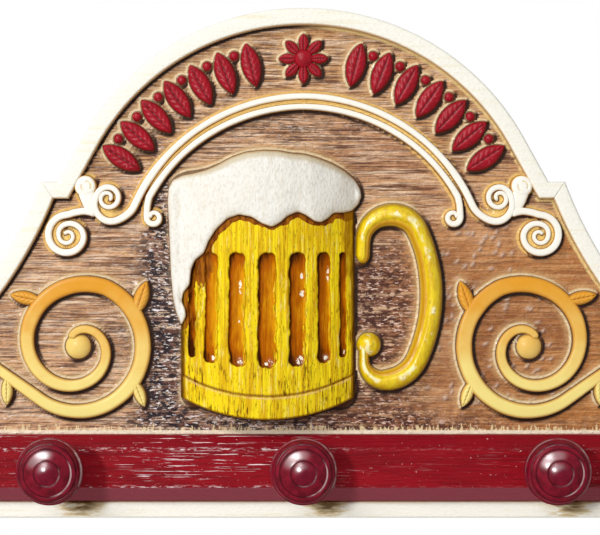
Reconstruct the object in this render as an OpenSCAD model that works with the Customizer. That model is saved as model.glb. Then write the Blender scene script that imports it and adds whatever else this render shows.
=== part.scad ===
// Carved wall peg rack: an arched board with a relief mug, scroll mouldings and a rail of turned pegs.
// The wall is the plane y = 0 and the front faces -Y. The origin lies midway between the two hangers.

/* [Board] */
// Overall width of the board
board_w = 610; // [590:1:700]
// Overall height, to the crown of the arch
board_h = 305; // [290:1:330]
// Thickness of the board
board_t = 18; // [16:1:25]
// Outer radius of the arch
arch_r = 151; // [146:1:160]
// Angle from the crown at which the arch turns into its straight flanks
arch_half = 61; // [58:1:64]
// Drop from the crown to the shoulders, where the side sweeps begin
shoulder_drop = 104; // [95:1:111]
// Width of the level step at each shoulder
step_w = 10; // [6:1:16]
// Slope from the vertical at which each side sweep leaves its shoulder
sweep_tilt = 20.3; // [18.5:0.1:21.5]
// Radius of the lower part of each side sweep
toe_r = 85; // [70:1:95]
// Slope from the vertical at which the two radii of a sweep meet
sweep_slope = 35; // [32:1:38]
// Height of the level ends
end_h = 108; // [104:1:116]
// Corner radius of the ends
corner_r = 8; // [1:1:12]

/* [Border] */
// Width of the border moulding
border_w = 10; // [7:0.5:12]
// Height of the border above the field
border_t = 6; // [4:0.5:9]
// Rounding of the border's edges
border_round = 2.5; // [1:0.25:3]

/* [Peg rail] */
// Height of the rail
rail_h = 40; // [36:1:44]
// Thickness of the rail
rail_t = 16; // [14:1:24]
// Height of the bevels along its top and bottom edges
rail_bevel_h = 7.8; // [4:0.2:9]
// Depth of those bevels
rail_bevel_d = 7; // [3:0.5:10]

/* [Pegs] */
// Distance between the pegs
peg_pitch = 146; // [110:1:180]
// Height of the pegs above the middle of the rail
peg_up = 2.5; // [0:0.5:4]
// Radius of the peg's head
head_r = 19.5; // [17:0.5:22]
// Radius of the neck at its narrowest
neck_r = 7.5; // [6:0.5:9]
// Radius of the foot that seats on the rail
foot_r = 12; // [10:0.5:14]
// Thickness of the foot
foot_l = 4; // [3:0.5:6]
// Length of the neck, where a loop hangs
neck_l = 18; // [14:1:26]
// Radius of the bead round the head
bead_r = 2.5; // [1.5:0.25:3]
// Depth of the head in front of its bead
face_l = 10; // [8:0.5:12]

/* [Arch mouldings] */
// Drop from the crown of the board to the outer moulding's centre line
band_drop = 52; // [50:0.5:54]
// How much the outer moulding's radius is less than the arch's
band_inset = 36.5; // [35:0.5:38]
// How much the inner moulding's radius is less than the outer's
inner_inset = 3.8; // [2.5:0.1:5.5]
// Width of the mouldings
band_w = 4.4; // [3.5:0.1:4.8]
// Gap between the two mouldings at the crown
band_gap = 2.4; // [2:0.1:3.5]
// Height of the mouldings and scrolls above the field
relief_t = 6; // [4:0.5:9]
// Width of a scroll at its eye
eye_w = 3; // [2:0.1:3.5]

/* [Mug] */
// Gap between the foam's left end and the inner moulding's radius
mug_gap = 30; // [28:0.5:33]
// Height of the mug's lowest point above the rail
mug_lift = 10; // [8:0.5:14]
// Gap between the foam's crown and the inner moulding
foam_gap = 24; // [20:0.5:30]
// Drop of the curved foot below the corners
mug_sag = 12; // [8:0.5:16]
// Height of the foot band
mug_foot = 14; // [10:0.5:16]
// Relief of the mug at its middle
mug_relief = 20; // [16:0.5:24]
// Relief of the mug at its sides
mug_edge = 3; // [2:0.5:5]
// Height of the flutes above the foot band
flute_up = 16; // [10:1:24]
// Depth of the flutes' tops below the rim
flute_down = 25; // [16:1:30]
// Number of hollow flutes
flute_count = 7; // [5:2:9]
// Width of the middle flute
flute_w = 11; // [9:0.5:12]
// Height of the foam's crown above the rim
foam_h = 36; // [30:1:38]
// Thickness of the foam over the mug
foam_t = 5; // [3:0.5:7]
// Width of the handle
handle_w = 13.8; // [11:0.2:15]
// Relief of the handle
handle_t = 12; // [9:0.5:15]

/* [Crest ornament] */
// How much the radius of the ring of leaves is less than the arch's
leaf_inset = 21; // [19:0.5:23]
// Leaves on each side of the rosette
leaf_count = 7; // [4:1:7]
// Angle between leaves
leaf_step = 7.2; // [6.5:0.1:7.4]
// Length of a leaf
leaf_l = 27; // [20:1:29]
// Width of a leaf
leaf_w = 12; // [9:0.5:13]
// Radius of the rosette at the crown
rosette_r = 15; // [11:0.5:17]
// Height of the ornaments above the field
ornament_t = 5; // [3:0.5:7]

/* [Side scrolls] */
// Gap between the rim of the scroll beside the mug and the corner scroll above it
scroll_head = 10.4; // [9:0.1:16]
// Gap between the rim of the scroll beside the mug and the border of the side sweep
scroll_side_gap = 18; // [16:0.5:24]
// Gap kept between the outermost scroll and the end of the field
scroll_end = 24; // [16:1:26]
// Radius of the middle scroll, as a share of the first
scroll_mid = 0.51; // [0.44:0.01:0.54]
// Radius of the outermost scroll, as a share of the first
scroll_last = 0.33; // [0.28:0.01:0.36]
// Width of the stem where it enters the scroll beside the mug
stem_w = 6; // [4:0.25:7]
// Gap kept between the side scrolls and what is around them
scroll_gap = 9; // [6:0.5:11]

/* [Hangers and screws] */
// Distance between the two hangers
hanger_pitch = 200; // [160:1:210]
// Height of the hangers above the foot of the board
hanger_h = 205; // [190:1:215]
// Radius of the keyhole's entry
key_r = 4.5; // [4:0.25:5]
// Radius of the keyhole's slot
slot_r = 2.5; // [2:0.25:2.75]
// Rise of the slot above the entry
slot_rise = 11; // [9:0.5:14]
// Width of a hanger plate
plate_w = 16; // [14:0.5:22]
// Thickness of a hanger plate
plate_t = 2; // [1.5:0.25:3]
// Radius of the peg screws
peg_screw_r = 2; // [1.75:0.25:2.5]
// Length of screw held in each peg
peg_grip = 20; // [16:1:24]
// Radius of the rail screws
rail_screw_r = 2; // [1.75:0.25:2.5]
// Length of screw held in the rail
rail_grip = 11; // [8:0.5:12]

/* [Hidden] */
$fn = 64;

cream = [0.97, 0.94, 0.86];
umber = [0.58, 0.42, 0.34];
crimson = [0.62, 0.17, 0.21];
maroon = [0.42, 0.07, 0.10];
gold = [0.90, 0.72, 0.32];
mug_yellow = [0.92, 0.74, 0.22];
foam_white = [0.95, 0.93, 0.88];
steel = [0.72, 0.72, 0.70];

joint_gap = 0.2;
screw_clear = 0.25;
thread_clear = 0.05;
cut = 1;

// Points on a circle and on an arc
function on_circle(c, r, a) = c + r * [cos(a), sin(a)];
function arc(c, r, a0, a1, n) = [for (i = [0:n]) on_circle(c, r, a0 + (a1 - a0) * i / n)];

// A spiral that tightens at a steady rate
function spiral(c, r0, r1, a0, a1, n) =
    [for (i = [0:n]) on_circle(c, r0 + (r1 - r0) * i / n, a0 + (a1 - a0) * i / n)];

// Lists of points: without the first, in reverse, and mirrored to the other side
function rest(p) = [for (i = [1:len(p) - 1]) p[i]];
function flip(p) = [for (i = [len(p) - 1:-1:0]) p[i]];
function mirrored(p) = [for (q = p) [-q.x, q.y]];

// A chain of arcs from point p on heading h: each step is [radius, turn], or [length, 0] for a straight
function walk(p, h, steps, n, i = 0) = i == len(steps) ? [] :
    let (r = steps[i][0], turn = steps[i][1], side = sign(turn), c = p + side * r * [-sin(h), cos(h)],
        pts = turn == 0 ? [p + r * [cos(h), sin(h)]] :
            [for (k = [1:n]) let (a = h + turn * k / n) c + side * r * [sin(a), -cos(a)]])
    concat(pts, walk(pts[len(pts) - 1], h + turn, steps, n, i + 1));

// Unit normals along an open line of points
function normal_at(p, i) = let (d = p[min(i + 1, len(p) - 1)] - p[max(i - 1, 0)]) [-d.y, d.x] / norm(d);

// Outline of a stroke along a line of points, its width going from w0 to w1 and swelling between them
function stroke(p, w0, w1, swell = 0) = let (last = len(p) - 1,
        n = [for (i = [0:last]) let (u = i / last)
            normal_at(p, i) * (w0 + (w1 - w0) * u + swell * sin(180 * u)) / 2])
    concat([for (i = [0:last]) p[i] + n[i]], [for (i = [last:-1:0]) p[i] - n[i]]);

// A point of the front view, at a height above the field
function lift(p, h) = [p.x, -board_t - h, p.y - hanger_h];

// A solid through a row of rings that each have as many points
module loft(rings) {
    n = len(rings[0]);
    m = len(rings);
    sides = [for (i = [0:m - 2], j = [0:n - 1])
        let (a = i * n + j, b = i * n + (j + 1) % n) each [[a, b + n, b], [a, a + n, b + n]]];
    caps = [[for (j = [0:n - 1]) j], [for (j = [n - 1:-1:0]) (m - 1) * n + j]];
    polyhedron([for (r = rings) each r], concat(sides, caps));
}

// A shape drawn in the front view, standing out from the field
module relief(t, from = 0)
    translate([0, -board_t - from, -hanger_h]) rotate([90, 0, 0]) linear_extrude(t) children();

// A solid made along +Z, turned to point out of the wall at a place in the front view
module point_out(x, h, y) translate([x, y, h - hanger_h]) rotate([90, 0, 0]) children();

// Outline of the board
arch_c = [0, board_h - arch_r];
shoulder_h = board_h - shoulder_drop;
sweep_r = (shoulder_h - end_h - toe_r * (1 - sin(sweep_slope))) / (sin(sweep_slope) - sin(sweep_tilt));
sweep_cz = shoulder_h + sweep_r * sin(sweep_tilt);
function flank_x(d) = (arch_r - d) * sin(arch_half)
    + (arch_c.y + (arch_r - d) * cos(arch_half) - shoulder_h + d) / tan(arch_half);
function sweep_start(d) = 180 + asin((sweep_cz - shoulder_h + d) / (sweep_r + d));
sweep_c = [flank_x(0) + step_w - sweep_r * cos(sweep_start(0)), sweep_cz];
toe_c = [sweep_c.x - (sweep_r - toe_r) * cos(sweep_slope), end_h + toe_r];
inner_corner_r = 0.5;

// Half of the crest, crown to shoulder, and one side, shoulder to foot, both moved inwards by d
function crest_half(d) = concat(arc(arch_c, arch_r - d, 90, 90 - arch_half, 24),
    [[flank_x(d), shoulder_h - d], on_circle(sweep_c, sweep_r + d, sweep_start(d))]);
function side_half(d) = let (q = max(corner_r - d, inner_corner_r), ends = [board_w / 2 - d, end_h - d])
    concat(arc(sweep_c, sweep_r + d, sweep_start(d), 180 + sweep_slope, 8),
        rest(arc(toe_c, toe_r + d, 180 + sweep_slope, 270, 12)),
        arc(ends - [q, q], q, 90, 0, 5), [[ends.x, d]]);
function crest_line(d) = concat(flip(mirrored(rest(crest_half(d)))), crest_half(d));
function outline(d) = let (right = concat(crest_half(d), rest(side_half(d))))
    concat(right, flip(mirrored(rest(right))));

// Cross-section of the border: [distance from the outer edge, height]
border_profile = concat([[0, 0]],
    [for (a = [0:30:90]) [border_round * (1 - cos(a)), border_t - border_round * (1 - sin(a))]],
    [for (a = [90:-30:0]) [border_w - border_round * (1 - cos(a)),
        border_t - border_round * (1 - sin(a))]],
    [[border_w, 0]]);

// The border's cross-section carried along lines that give one point list for each of its points
module border_run(lines) loft([for (i = [0:len(lines[0]) - 1])
    [for (j = [0:len(lines) - 1]) lift(lines[j][i], border_profile[j].y)]]);

// Rail and pegs
rail_z = border_w;
rail_top = rail_z + rail_h;
rail_len = board_w - 2 * border_w;
rail_mid = rail_z + rail_h / 2;
peg_x = [-peg_pitch, 0, peg_pitch];
rail_screw_x = [-1.5 * peg_pitch, -peg_pitch / 2, peg_pitch / 2, 1.5 * peg_pitch];
washer_r = 3 * peg_screw_r;
washer_t = 1;
pan_r = 2 * peg_screw_r;
pan_t = 1.3 * peg_screw_r;
well_d = washer_t + pan_t + 3;
sink_r = 2 * rail_screw_r;

// Turned profile of a peg: [radius, distance from the rail]
peg_z = rail_mid + peg_up;
head_l0 = foot_l + neck_l;
face_l0 = head_l0 + 2 * bead_r;
foot_round = 1.5;

// A convex ring of the turned face, between shares of the head's radius and depth, and a fine groove
ring_groove = 0.6;
function turned_ring(r0, r1, h0, h1) = [for (a = [0:15:90])
    [head_r * (r0 - (r0 - r1) * (1 - cos(a))), face_l0 + face_l * (h0 + (h1 - h0) * sin(a))]];
function turned_groove(r, h) = [[head_r * r - ring_groove, face_l0 + face_l * h - ring_groove]];
peg_profile = concat([[0, 0], [foot_r, 0], [foot_r, foot_l - foot_round]],
    [for (u = [0:0.125:1]) [neck_r + (foot_r - foot_round - neck_r) * pow(1 - u, 3)
        + (head_r - bead_r - neck_r) * pow(u, 4), foot_l + neck_l * u]],
    rest(arc([head_r - bead_r, head_l0 + bead_r], bead_r, -90, 60, 10)),
    turned_ring(0.92, 0.84, 0, 0.5), turned_groove(0.84, 0.5),
    turned_ring(0.79, 0.66, 0.5, 0.74), turned_groove(0.66, 0.74),
    turned_ring(0.61, 0.40, 0.68, 0.9), turned_groove(0.40, 0.9), turned_ring(0.35, 0, 0.84, 1));

// Outer moulding: an arc, a straight and a scroll that turns back, first fast and then slowly
crown_lap = 0.5;
band_h = board_h - band_drop;
outer_r = arch_r - band_inset;
outer_c = [0, band_h - outer_r];
outer_half_angle = 60;
outer_straight = 14.7;
curl_r = 15.5;
curl_neck_r = 7.4;
curl_turn = 330;
outer_end = on_circle(outer_c, outer_r, 90 - outer_half_angle)
    + outer_straight * [cos(outer_half_angle), -sin(outer_half_angle)];
curl_c = outer_end + curl_r * [sin(outer_half_angle), cos(outer_half_angle)];
outer_half = concat(arc(outer_c, outer_r, 90 + crown_lap, 90 - outer_half_angle, 24),
    spiral(curl_c, curl_r, curl_neck_r, -90 - outer_half_angle, 90, 18),
    rest(spiral(curl_c, curl_neck_r, eye_w, 90, 90 + curl_turn, 22)));

// Inner moulding: arcs of the same turn that tighten into a small curl
inner_r = outer_r - inner_inset;
inner_h = band_h - band_w - band_gap;
inner_c = [0, inner_h - inner_r];
inner_half_angle = 52;
inner_flank_r = 36;
inner_straight = 5;
inner_curl_r = 4.2;
inner_half = concat([on_circle(inner_c, inner_r, 90 + crown_lap)], walk([0, inner_h], 0,
    [[inner_r, -inner_half_angle], [inner_flank_r, inner_half_angle - 88], [inner_straight, 0],
        [inner_curl_r, -215], [0.6 * inner_curl_r, -60]], 14));

// The strokes narrow from the crown to the eye, so each half is drawn outwards from the crown
module both_sides() {
    children();
    mirror([1, 0, 0]) children();
}

// Corner scroll: a leaf bud and a volute that leave the outer moulding's curl together, coped to fit it
volute_r = 14.2;
volute_turns = 1.75;
volute_w = 4.2;
bud_r = 6.5;
neck_at = curl_c + [11, -5.5];
volute_c = curl_c + [23.4, -22.6];
bud_c = curl_c + [13, 7];
volute_path = concat([neck_at], spiral(volute_c, volute_r, eye_w, 92, 90 - 360 * volute_turns, 44));
module corner_scroll() color(cream) difference() {
    union() {
        relief(relief_t) polygon(stroke(volute_path, volute_w, eye_w));
        relief(relief_t) polygon(stroke([neck_at - [0, 2], neck_at + [0.8, 4], bud_c], 5, 9));
        relief(relief_t) translate(bud_c) circle(bud_r);
    }
    relief(relief_t + cut) polygon(stroke(outer_half, band_w + 2 * joint_gap, eye_w + 2 * joint_gap));
    relief(relief_t + cut) translate(curl_c) circle(curl_neck_r + band_w / 2);
}

// Mug: heights above the foot of the board, and the foam's ends and bend as shares of its half width
mug_x = -21.4;
foam_ends = [-1.14, -0.84, 1.06];
mug_w = 2 * (inner_r + mug_x - mug_gap) / -foam_ends[0];
mug_z0 = rail_top + mug_lift;
mug_z1 = mug_z0 + mug_sag;
rim_z = inner_h - band_w / 2 - foam_gap - foam_h;
mug_h = rim_z - mug_z1;
half_w = mug_w / 2;
foot_proud = 1.5;
flute_step = min(20, 150 / flute_count);
sag_r = (half_w * half_w + mug_sag * mug_sag) / (2 * mug_sag);
sag_a = asin(half_w / sag_r);
bulge = mug_relief - mug_edge;
mug_r = (half_w * half_w + bulge * bulge) / (2 * bulge);
function mug_y(x) = mug_relief - mug_r + sqrt(mug_r * mug_r - x * x);
function foot_arc(z) = arc([mug_x, z + sag_r], sag_r, -90 - sag_a, -90 + sag_a, 20);

// Foam: upper and lower edge as [share of the mug's half width, height above the rim], eased between
foam_top = [[-1.14, 8], [-1.02, 21.5], [-0.73, 24.5], [-0.12, foam_h], [0.12, foam_h - 2.5],
    [0.44, foam_h - 2], [0.92, 23], [1.06, 13]];
foam_low = [[-1.14, -0.18 * mug_h], [-1.08, -0.41 * mug_h], [-0.97, -0.607 * mug_h],
    [-0.88, -0.43 * mug_h], [-0.80, -0.286 * mug_h], [-0.42, -3.5], [-0.27, -2],
    [0.06, -10], [0.36, -1.5], [0.62, -7.5], [0.86, -0.5], [1.06, 7]];
function ease(t) = t * t * (3 - 2 * t);
function eased(p, x, i = 0) = i < len(p) - 2 && x > p[i + 1].x ? eased(p, x, i + 1) :
    p[i].y + (p[i + 1].y - p[i].y) * ease(max(0, min(1, (x - p[i].x) / (p[i + 1].x - p[i].x))));
foam_rows = concat([for (i = [0:11]) foam_ends[0] + (foam_ends[1] - foam_ends[0]) * i / 12],
    [for (i = [0:30]) foam_ends[1] + (foam_ends[2] - foam_ends[1]) * i / 30]);
function foam_point(u, h) = [mug_x + u * half_w, rim_z + h];
foam_outline = concat([for (u = foam_rows) foam_point(u, eased(foam_low, u))],
    [for (u = flip(foam_rows)) foam_point(u, eased(foam_top, u))]);

// Height of the foam over the field: it swells over the mug and rounds off towards its edges and ends
foam_round = 0.14;
function foam_y(u, v) = let (ends = min(1, (u - foam_ends[0]) / foam_round, (foam_ends[2] - u) / foam_round),
        swell = sqrt(max(0, 1 - pow(abs(2 * v - 1), 3))))
    mug_y(min(abs(u), 1) * half_w) + foam_t * (0.3 + 0.7 * swell * sqrt(ends * (2 - ends)));
module foam_solid() loft([for (u = foam_rows) let (low = eased(foam_low, u), top = eased(foam_top, u))
    concat([lift(foam_point(u, low), 0)],
        [for (v = [0, 0.03, 0.1, 0.22, 0.4, 0.6, 0.78, 0.9, 0.97, 1])
            lift(foam_point(u, low + (top - low) * v), foam_y(u, v))],
        [lift(foam_point(u, top), 0)])]);

// Handle: a chain of arcs that starts beside the mug below the rim, as shares of the mug's height
handle_clear = 5;
handle_start = [mug_x + half_w + handle_clear, rim_z - 0.286 * mug_h];
handle_path = concat([handle_start], walk(handle_start, 88,
    [[0.125 * mug_h, 0], [0.152 * mug_h, -153], [0.821 * mug_h, -50], [0.196 * mug_h, -65],
        [0.107 * mug_h, -140]], 12));
handle_ball_r = 0.38 * handle_w;
handle_reach = max([for (p = handle_path) p.x]) + handle_w / 2 - handle_start.x;
function handle_width(u) = handle_w * (u < 0.2 ? 0.6 + 2 * u : u > 0.75 ? 1 - 1.8 * (u - 0.75) : 1);
module handle_bar() loft([for (i = [0:len(handle_path) - 1])
    let (n = normal_at(handle_path, i), u = i / (len(handle_path) - 1), w = handle_width(u) / 2)
    [for (a = [0:30:180]) lift(handle_path[i] + n * w * cos(a), handle_t * w / handle_w * 2 * sin(a))]]);

// Crest ornament, on a ring of its own between the border and the outer moulding
leaf_drop = 30;
leaf_ring_r = arch_r - leaf_inset;
leaf_c = [0, board_h - leaf_drop - leaf_ring_r];
leaf_first = 14;
bead_size = 3.2;
module on_leaf_ring(a) let (p = on_circle(leaf_c, leaf_ring_r, 90 - a))
    translate([p.x, -board_t, p.y - hanger_h]) rotate([0, a, 0]) rotate([90, 0, 0]) children();

// A pointed leaf between two arcs, from the origin along +X
module flat_leaf(l, w) {
    r = (l * l + w * w) / (4 * w);
    a = asin(l / (2 * r));
    upper = arc([l / 2, w / 2 - r], r, 90 + a, 90 - a, 10);
    lower = arc([l / 2, r - w / 2], r, a - 90, -a - 90, 10);
    polygon([for (i = [0:9]) upper[i], for (i = [0:9]) lower[i]]);
}

// The same leaf as a solid about its middle, with a vein cut along it
module leaf(l, w, t) {
    vein = 0.16 * w;
    difference() {
        linear_extrude(t) rotate(90) translate([-l / 2, 0]) flat_leaf(l, w);
        translate([0, 0, t]) rotate([0, 45, 0]) cube([vein, l, vein], center = true);
    }
}

// Side scroll: three scrolls that turn by turns, each leaving the rim of the one outside it
field_x = board_w / 2 - border_w;
scroll_x0 = handle_start.x + handle_reach + scroll_gap;
scroll_z0 = rail_top + scroll_gap;
scroll_up = 4.5;
scroll_ceiling = volute_c.y - volute_r - volute_w / 2 - scroll_head;
scroll_span = 2 + 3.4 * scroll_mid + 2.3 * scroll_last;
scroll_lean = 1.08;
function scroll_c0(r) = [scroll_x0 + scroll_lean * r, scroll_z0 + scroll_up + r];
scroll_most = (scroll_ceiling - scroll_z0 - scroll_up) / 2;
scroll_r0 = min(scroll_most, (field_x - scroll_x0 - scroll_end) / scroll_span,
    norm(sweep_c - scroll_c0(scroll_most)) - sweep_r - border_w - scroll_side_gap);
scroll_r1 = scroll_mid * scroll_r0;
scroll_r2 = scroll_last * scroll_r0;
scroll_r = [scroll_r0, scroll_r1, scroll_r2];
scroll_x1 = scroll_x0 + 2 * scroll_r0;
scroll_c = [scroll_c0(scroll_r0), [scroll_x1 + 1.9 * scroll_r1, scroll_z0 + 1.2 * scroll_r1],
    [scroll_x1 + 3.4 * scroll_r1 + 1.3 * scroll_r2, scroll_z0 + 1.15 * scroll_r2]];
scroll_side = [-1, 1, -1];
scroll_hold = [190, 120, 100];
scroll_turn = [430, 400, 380];
scroll_share = [1, 0.8, 0.65];
stem_swell = 0.8;
scroll_eye_r = 0.205 * scroll_r0;

// Heading of the stem from scroll a to scroll b, the tangent that crosses between them
function cross_heading(a, b) = let (d = scroll_c[b] - scroll_c[a])
    atan2(d.y, d.x) + scroll_side[a] * asin((scroll_r[a] + scroll_r[b]) / norm(d));

// Point of scroll i where a line on heading h touches it, and its angle there
function touch_angle(i, h) = h - 90 * scroll_side[i];
function touch(i, h) = on_circle(scroll_c[i], scroll_r[i], touch_angle(i, h));

// A scroll's stem: from a start point onto the rim, round it and in to the eye
function scroll_path(i, from, h) = let (a = touch_angle(i, h), s = scroll_side[i],
        a1 = a + s * scroll_hold[i], on = touch(i, h))
    concat([from, (from + on) / 2], arc(scroll_c[i], scroll_r[i], a, a1, 16), rest(spiral(
        scroll_c[i], scroll_r[i], 0.75 * scroll_eye_r * scroll_share[i], a1, a1 + s * scroll_turn[i], 40)));
tail_start = [field_x - scroll_gap, scroll_c[2].y - scroll_r[2]];
scroll_h1 = cross_heading(2, 1);
scroll_h0 = cross_heading(1, 0);
scroll_paths = [scroll_path(0, touch(1, scroll_h0), scroll_h0),
    scroll_path(1, touch(2, scroll_h1), scroll_h1), scroll_path(2, tail_start, 180)];

// Leaves on the stems: [scroll, point of its stem, turn from the stem's heading, share of scroll_r0]
scroll_leaves = [[0, 15, 47, 0.56], [0, 24, 50, 0.51], [0, 10, 128, 0.46], [0, 1, 55, 0.46],
    [1, 13, -45, 0.41], [2, 13, 50, 0.36], [2, 26, 60, 0.33], [2, 0, -70, 0.51]];
leaf_share = 0.42;
function heading_at(p, i) = let (n = normal_at(p, i)) atan2(-n.x, n.y);
module side_scroll() color(gold) union() {
    for (i = [0:2]) let (w = stem_w * scroll_share[i]) {
        relief(ornament_t) polygon(stroke(scroll_paths[i], w, 0.8 * w, stem_swell * w));
        relief(ornament_t) translate(scroll_c[i]) circle(scroll_eye_r * scroll_share[i]);
    }
    for (s = scroll_leaves) let (p = scroll_paths[s[0]], l = s[3] * scroll_r0) relief(ornament_t)
        translate(p[s[1]]) rotate(heading_at(p, s[1]) + s[2]) flat_leaf(l, leaf_share * l);
}

// Hangers: a keyhole plate let into the back, over a well for the head of the wall screw
hanger_x = [-hanger_pitch / 2, hanger_pitch / 2];
plate_screw_r = 1.5;
plate_grip = 10;
plate_margin = 5;
plate_low = -key_r - 2 * plate_margin;
plate_high = slot_rise + slot_r + 2 * plate_margin;
plate_screw_z = [plate_low + plate_margin, plate_high - plate_margin];
well_depth = 8;

// Places a child that points out of the back of the board at a hanger
module at_hanger(x, z) translate([x, 0, z]) rotate([90, 0, 0]) children();
module plate_shape(gap) translate([-plate_w / 2 - gap, plate_low - gap])
    square([plate_w + 2 * gap, plate_high - plate_low + 2 * gap]);
module keyhole(gap) {
    circle(key_r + gap);
    translate([-slot_r - gap, 0]) square([2 * (slot_r + gap), slot_rise]);
    translate([0, slot_rise]) circle(slot_r + gap);
}

// A countersunk screw, or the hole for one, from its flat face along +Z
module sunk_screw(r, l, gap) {
    cylinder(r1 = 2 * r + gap, r2 = r + gap, h = r);
    cylinder(r = r + gap, h = l);
}
module cross_recess(r) for (a = [0, 90]) rotate([0, 0, a]) cube([1.4 * r, 0.3 * r, r], center = true);

module back_board() color(umber) difference() {
    relief(board_t, -board_t) polygon(outline(0));
    for (x = peg_x) {
        point_out(x, peg_z, cut) cylinder(r = washer_r + screw_clear, h = well_d + cut);
        point_out(x, peg_z, cut) cylinder(r = peg_screw_r + screw_clear, h = board_t + 2 * cut);
    }
    for (x = rail_screw_x) point_out(x, rail_mid, 0) sunk_screw(rail_screw_r, board_t + cut, thread_clear);
    for (x = hanger_x) {
        at_hanger(x, 0) translate([0, 0, -cut]) linear_extrude(plate_t + cut) plate_shape(joint_gap);
        for (z = [0, slot_rise]) at_hanger(x, z) cylinder(r = key_r + cut, h = plate_t + well_depth);
        at_hanger(x, 0) linear_extrude(plate_t + well_depth) translate([-key_r - cut, 0])
            square([2 * (key_r + cut), slot_rise]);
        for (z = plate_screw_z) at_hanger(x, z)
            cylinder(r = plate_screw_r + thread_clear, h = plate_grip + cut);
    }
}

module crest_border() color(cream) border_run([for (p = border_profile) crest_line(p.x)]);
module right_border() color(cream) border_run([for (p = border_profile) side_half(p.x)]);
module left_border() color(cream) mirror([1, 0, 0]) right_border();
module bottom_border() color(cream) border_run(
    [for (p = border_profile) [[board_w / 2 - p.x, p.x], [p.x - board_w / 2, p.x]]]);

module peg_rail() color(crimson) difference() {
    translate([-rail_len / 2, -board_t, rail_z - hanger_h]) rotate([90, 0, 90]) linear_extrude(rail_len)
        polygon([[0, 0], [rail_bevel_d - rail_t, 0], [-rail_t, rail_bevel_h],
            [-rail_t, rail_h - rail_bevel_h], [rail_bevel_d - rail_t, rail_h], [0, rail_h]]);
    for (x = peg_x) point_out(x, peg_z, cut - board_t)
        cylinder(r = peg_screw_r + screw_clear, h = rail_t + 2 * cut);
    for (x = rail_screw_x) point_out(x, rail_mid, cut - board_t)
        cylinder(r = rail_screw_r + thread_clear, h = rail_grip + 2 * cut);
}

module peg(x) color(maroon) point_out(x, peg_z, -board_t - rail_t) difference() {
    rotate_extrude() polygon(peg_profile);
    translate([0, 0, -cut]) cylinder(r = peg_screw_r + thread_clear, h = peg_grip + 2 * cut);
}
module peg_left() peg(peg_x[0]);
module peg_centre() peg(peg_x[1]);
module peg_right() peg(peg_x[2]);

module peg_screws() color(steel) for (x = peg_x) point_out(x, peg_z, washer_t + pan_t - well_d)
    difference() {
        union() {
            cylinder(r = pan_r, h = pan_t);
            cylinder(r = peg_screw_r, h = pan_t + washer_t + board_t - well_d + rail_t + peg_grip);
        }
        cross_recess(pan_r);
    }
module peg_washers() color(steel) for (x = peg_x) point_out(x, peg_z, washer_t - well_d) difference() {
    cylinder(r = washer_r, h = washer_t);
    translate([0, 0, -cut]) cylinder(r = peg_screw_r + screw_clear, h = washer_t + 2 * cut);
}
module rail_screws() color(steel) for (x = rail_screw_x) point_out(x, rail_mid, 0) difference() {
    sunk_screw(rail_screw_r, board_t + rail_grip, 0);
    cross_recess(rail_screw_r);
}

module outer_arch_moulding() color(cream)
    both_sides() relief(relief_t) polygon(stroke(outer_half, band_w, eye_w));
module inner_arch_moulding() color(cream)
    both_sides() relief(relief_t) polygon(stroke(inner_half, band_w, eye_w));
module right_corner_scroll() corner_scroll();
module left_corner_scroll() mirror([1, 0, 0]) corner_scroll();

// A bar of the mug's round front, between two heights of its curved foot line
module mug_slice(proud, low, high) intersection() {
    relief(mug_relief + 2 * proud) polygon(concat(low, flip(high)));
    translate([mug_x, mug_r - mug_relief - proud - board_t, -hanger_h]) cylinder(r = mug_r, h = board_h);
}
// A flute: a round-ended hollow, sunk into the front
module flute(x, w, z0, z1) {
    depth = 0.2 * w;
    ends = w / 2;
    translate([mug_x + x, -board_t - mug_y(x) - ends + depth, z0 - hanger_h]) rotate_extrude() polygon(
        concat(arc([0, ends], ends, -90, 0, 6), arc([0, z1 - z0 - ends], ends, 0, 90, 6)));
}
module mug_body() color(mug_yellow) difference() {
    union() {
        mug_slice(foot_proud, foot_arc(mug_z0), foot_arc(mug_z0 + mug_foot));
        mug_slice(0, foot_arc(mug_z0 + mug_foot), [[mug_x - half_w, rim_z], [mug_x + half_w, rim_z]]);
    }
    relief(mug_relief * 2) polygon(foam_outline);
    for (i = [0:flute_count - 1]) let (a = (i - (flute_count - 1) / 2) * flute_step)
        flute(half_w * sin(a), flute_w * pow(cos(a), 1.3),
            mug_z0 + mug_foot + flute_up + mug_sag * (1 - cos(a)), rim_z - flute_down);
}

module mug_foam() color(foam_white) foam_solid();

module mug_handle() color(mug_yellow) difference() {
    union() {
        handle_bar();
        translate(lift(handle_path[len(handle_path) - 1], 0)) sphere(handle_ball_r);
    }
    translate([mug_x - half_w, -board_t - 2 * handle_t, -hanger_h]) cube([mug_w, 3 * handle_t, board_h]);
    translate([0, -board_t, -hanger_h]) cube([board_w, 2 * handle_t, board_h]);
}

module crest_leaves() color(crimson) for (s = [-1, 1], i = [0:leaf_count - 1])
    on_leaf_ring(s * (leaf_first + i * leaf_step)) leaf(leaf_l, leaf_w, ornament_t);
module crest_beads() color(crimson) for (s = [-1, 1], i = [0:leaf_count - 2])
    on_leaf_ring(s * (leaf_first + (i + 0.5) * leaf_step)) translate([0, 0.3 * leaf_l, 0])
        intersection() {
            sphere(bead_size);
            translate([-bead_size, -bead_size, 0]) cube(2 * bead_size);
        }
module crest_rosette() color(crimson) on_leaf_ring(0) union() {
    for (a = [0:45:315]) rotate([0, 0, a]) translate([0, 0.62 * rosette_r, 0])
        leaf(0.76 * rosette_r, 0.42 * rosette_r, 0.7 * ornament_t);
    cylinder(r = 0.42 * rosette_r, h = ornament_t);
}

module right_side_scroll() side_scroll();
module left_side_scroll() mirror([1, 0, 0]) side_scroll();

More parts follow.
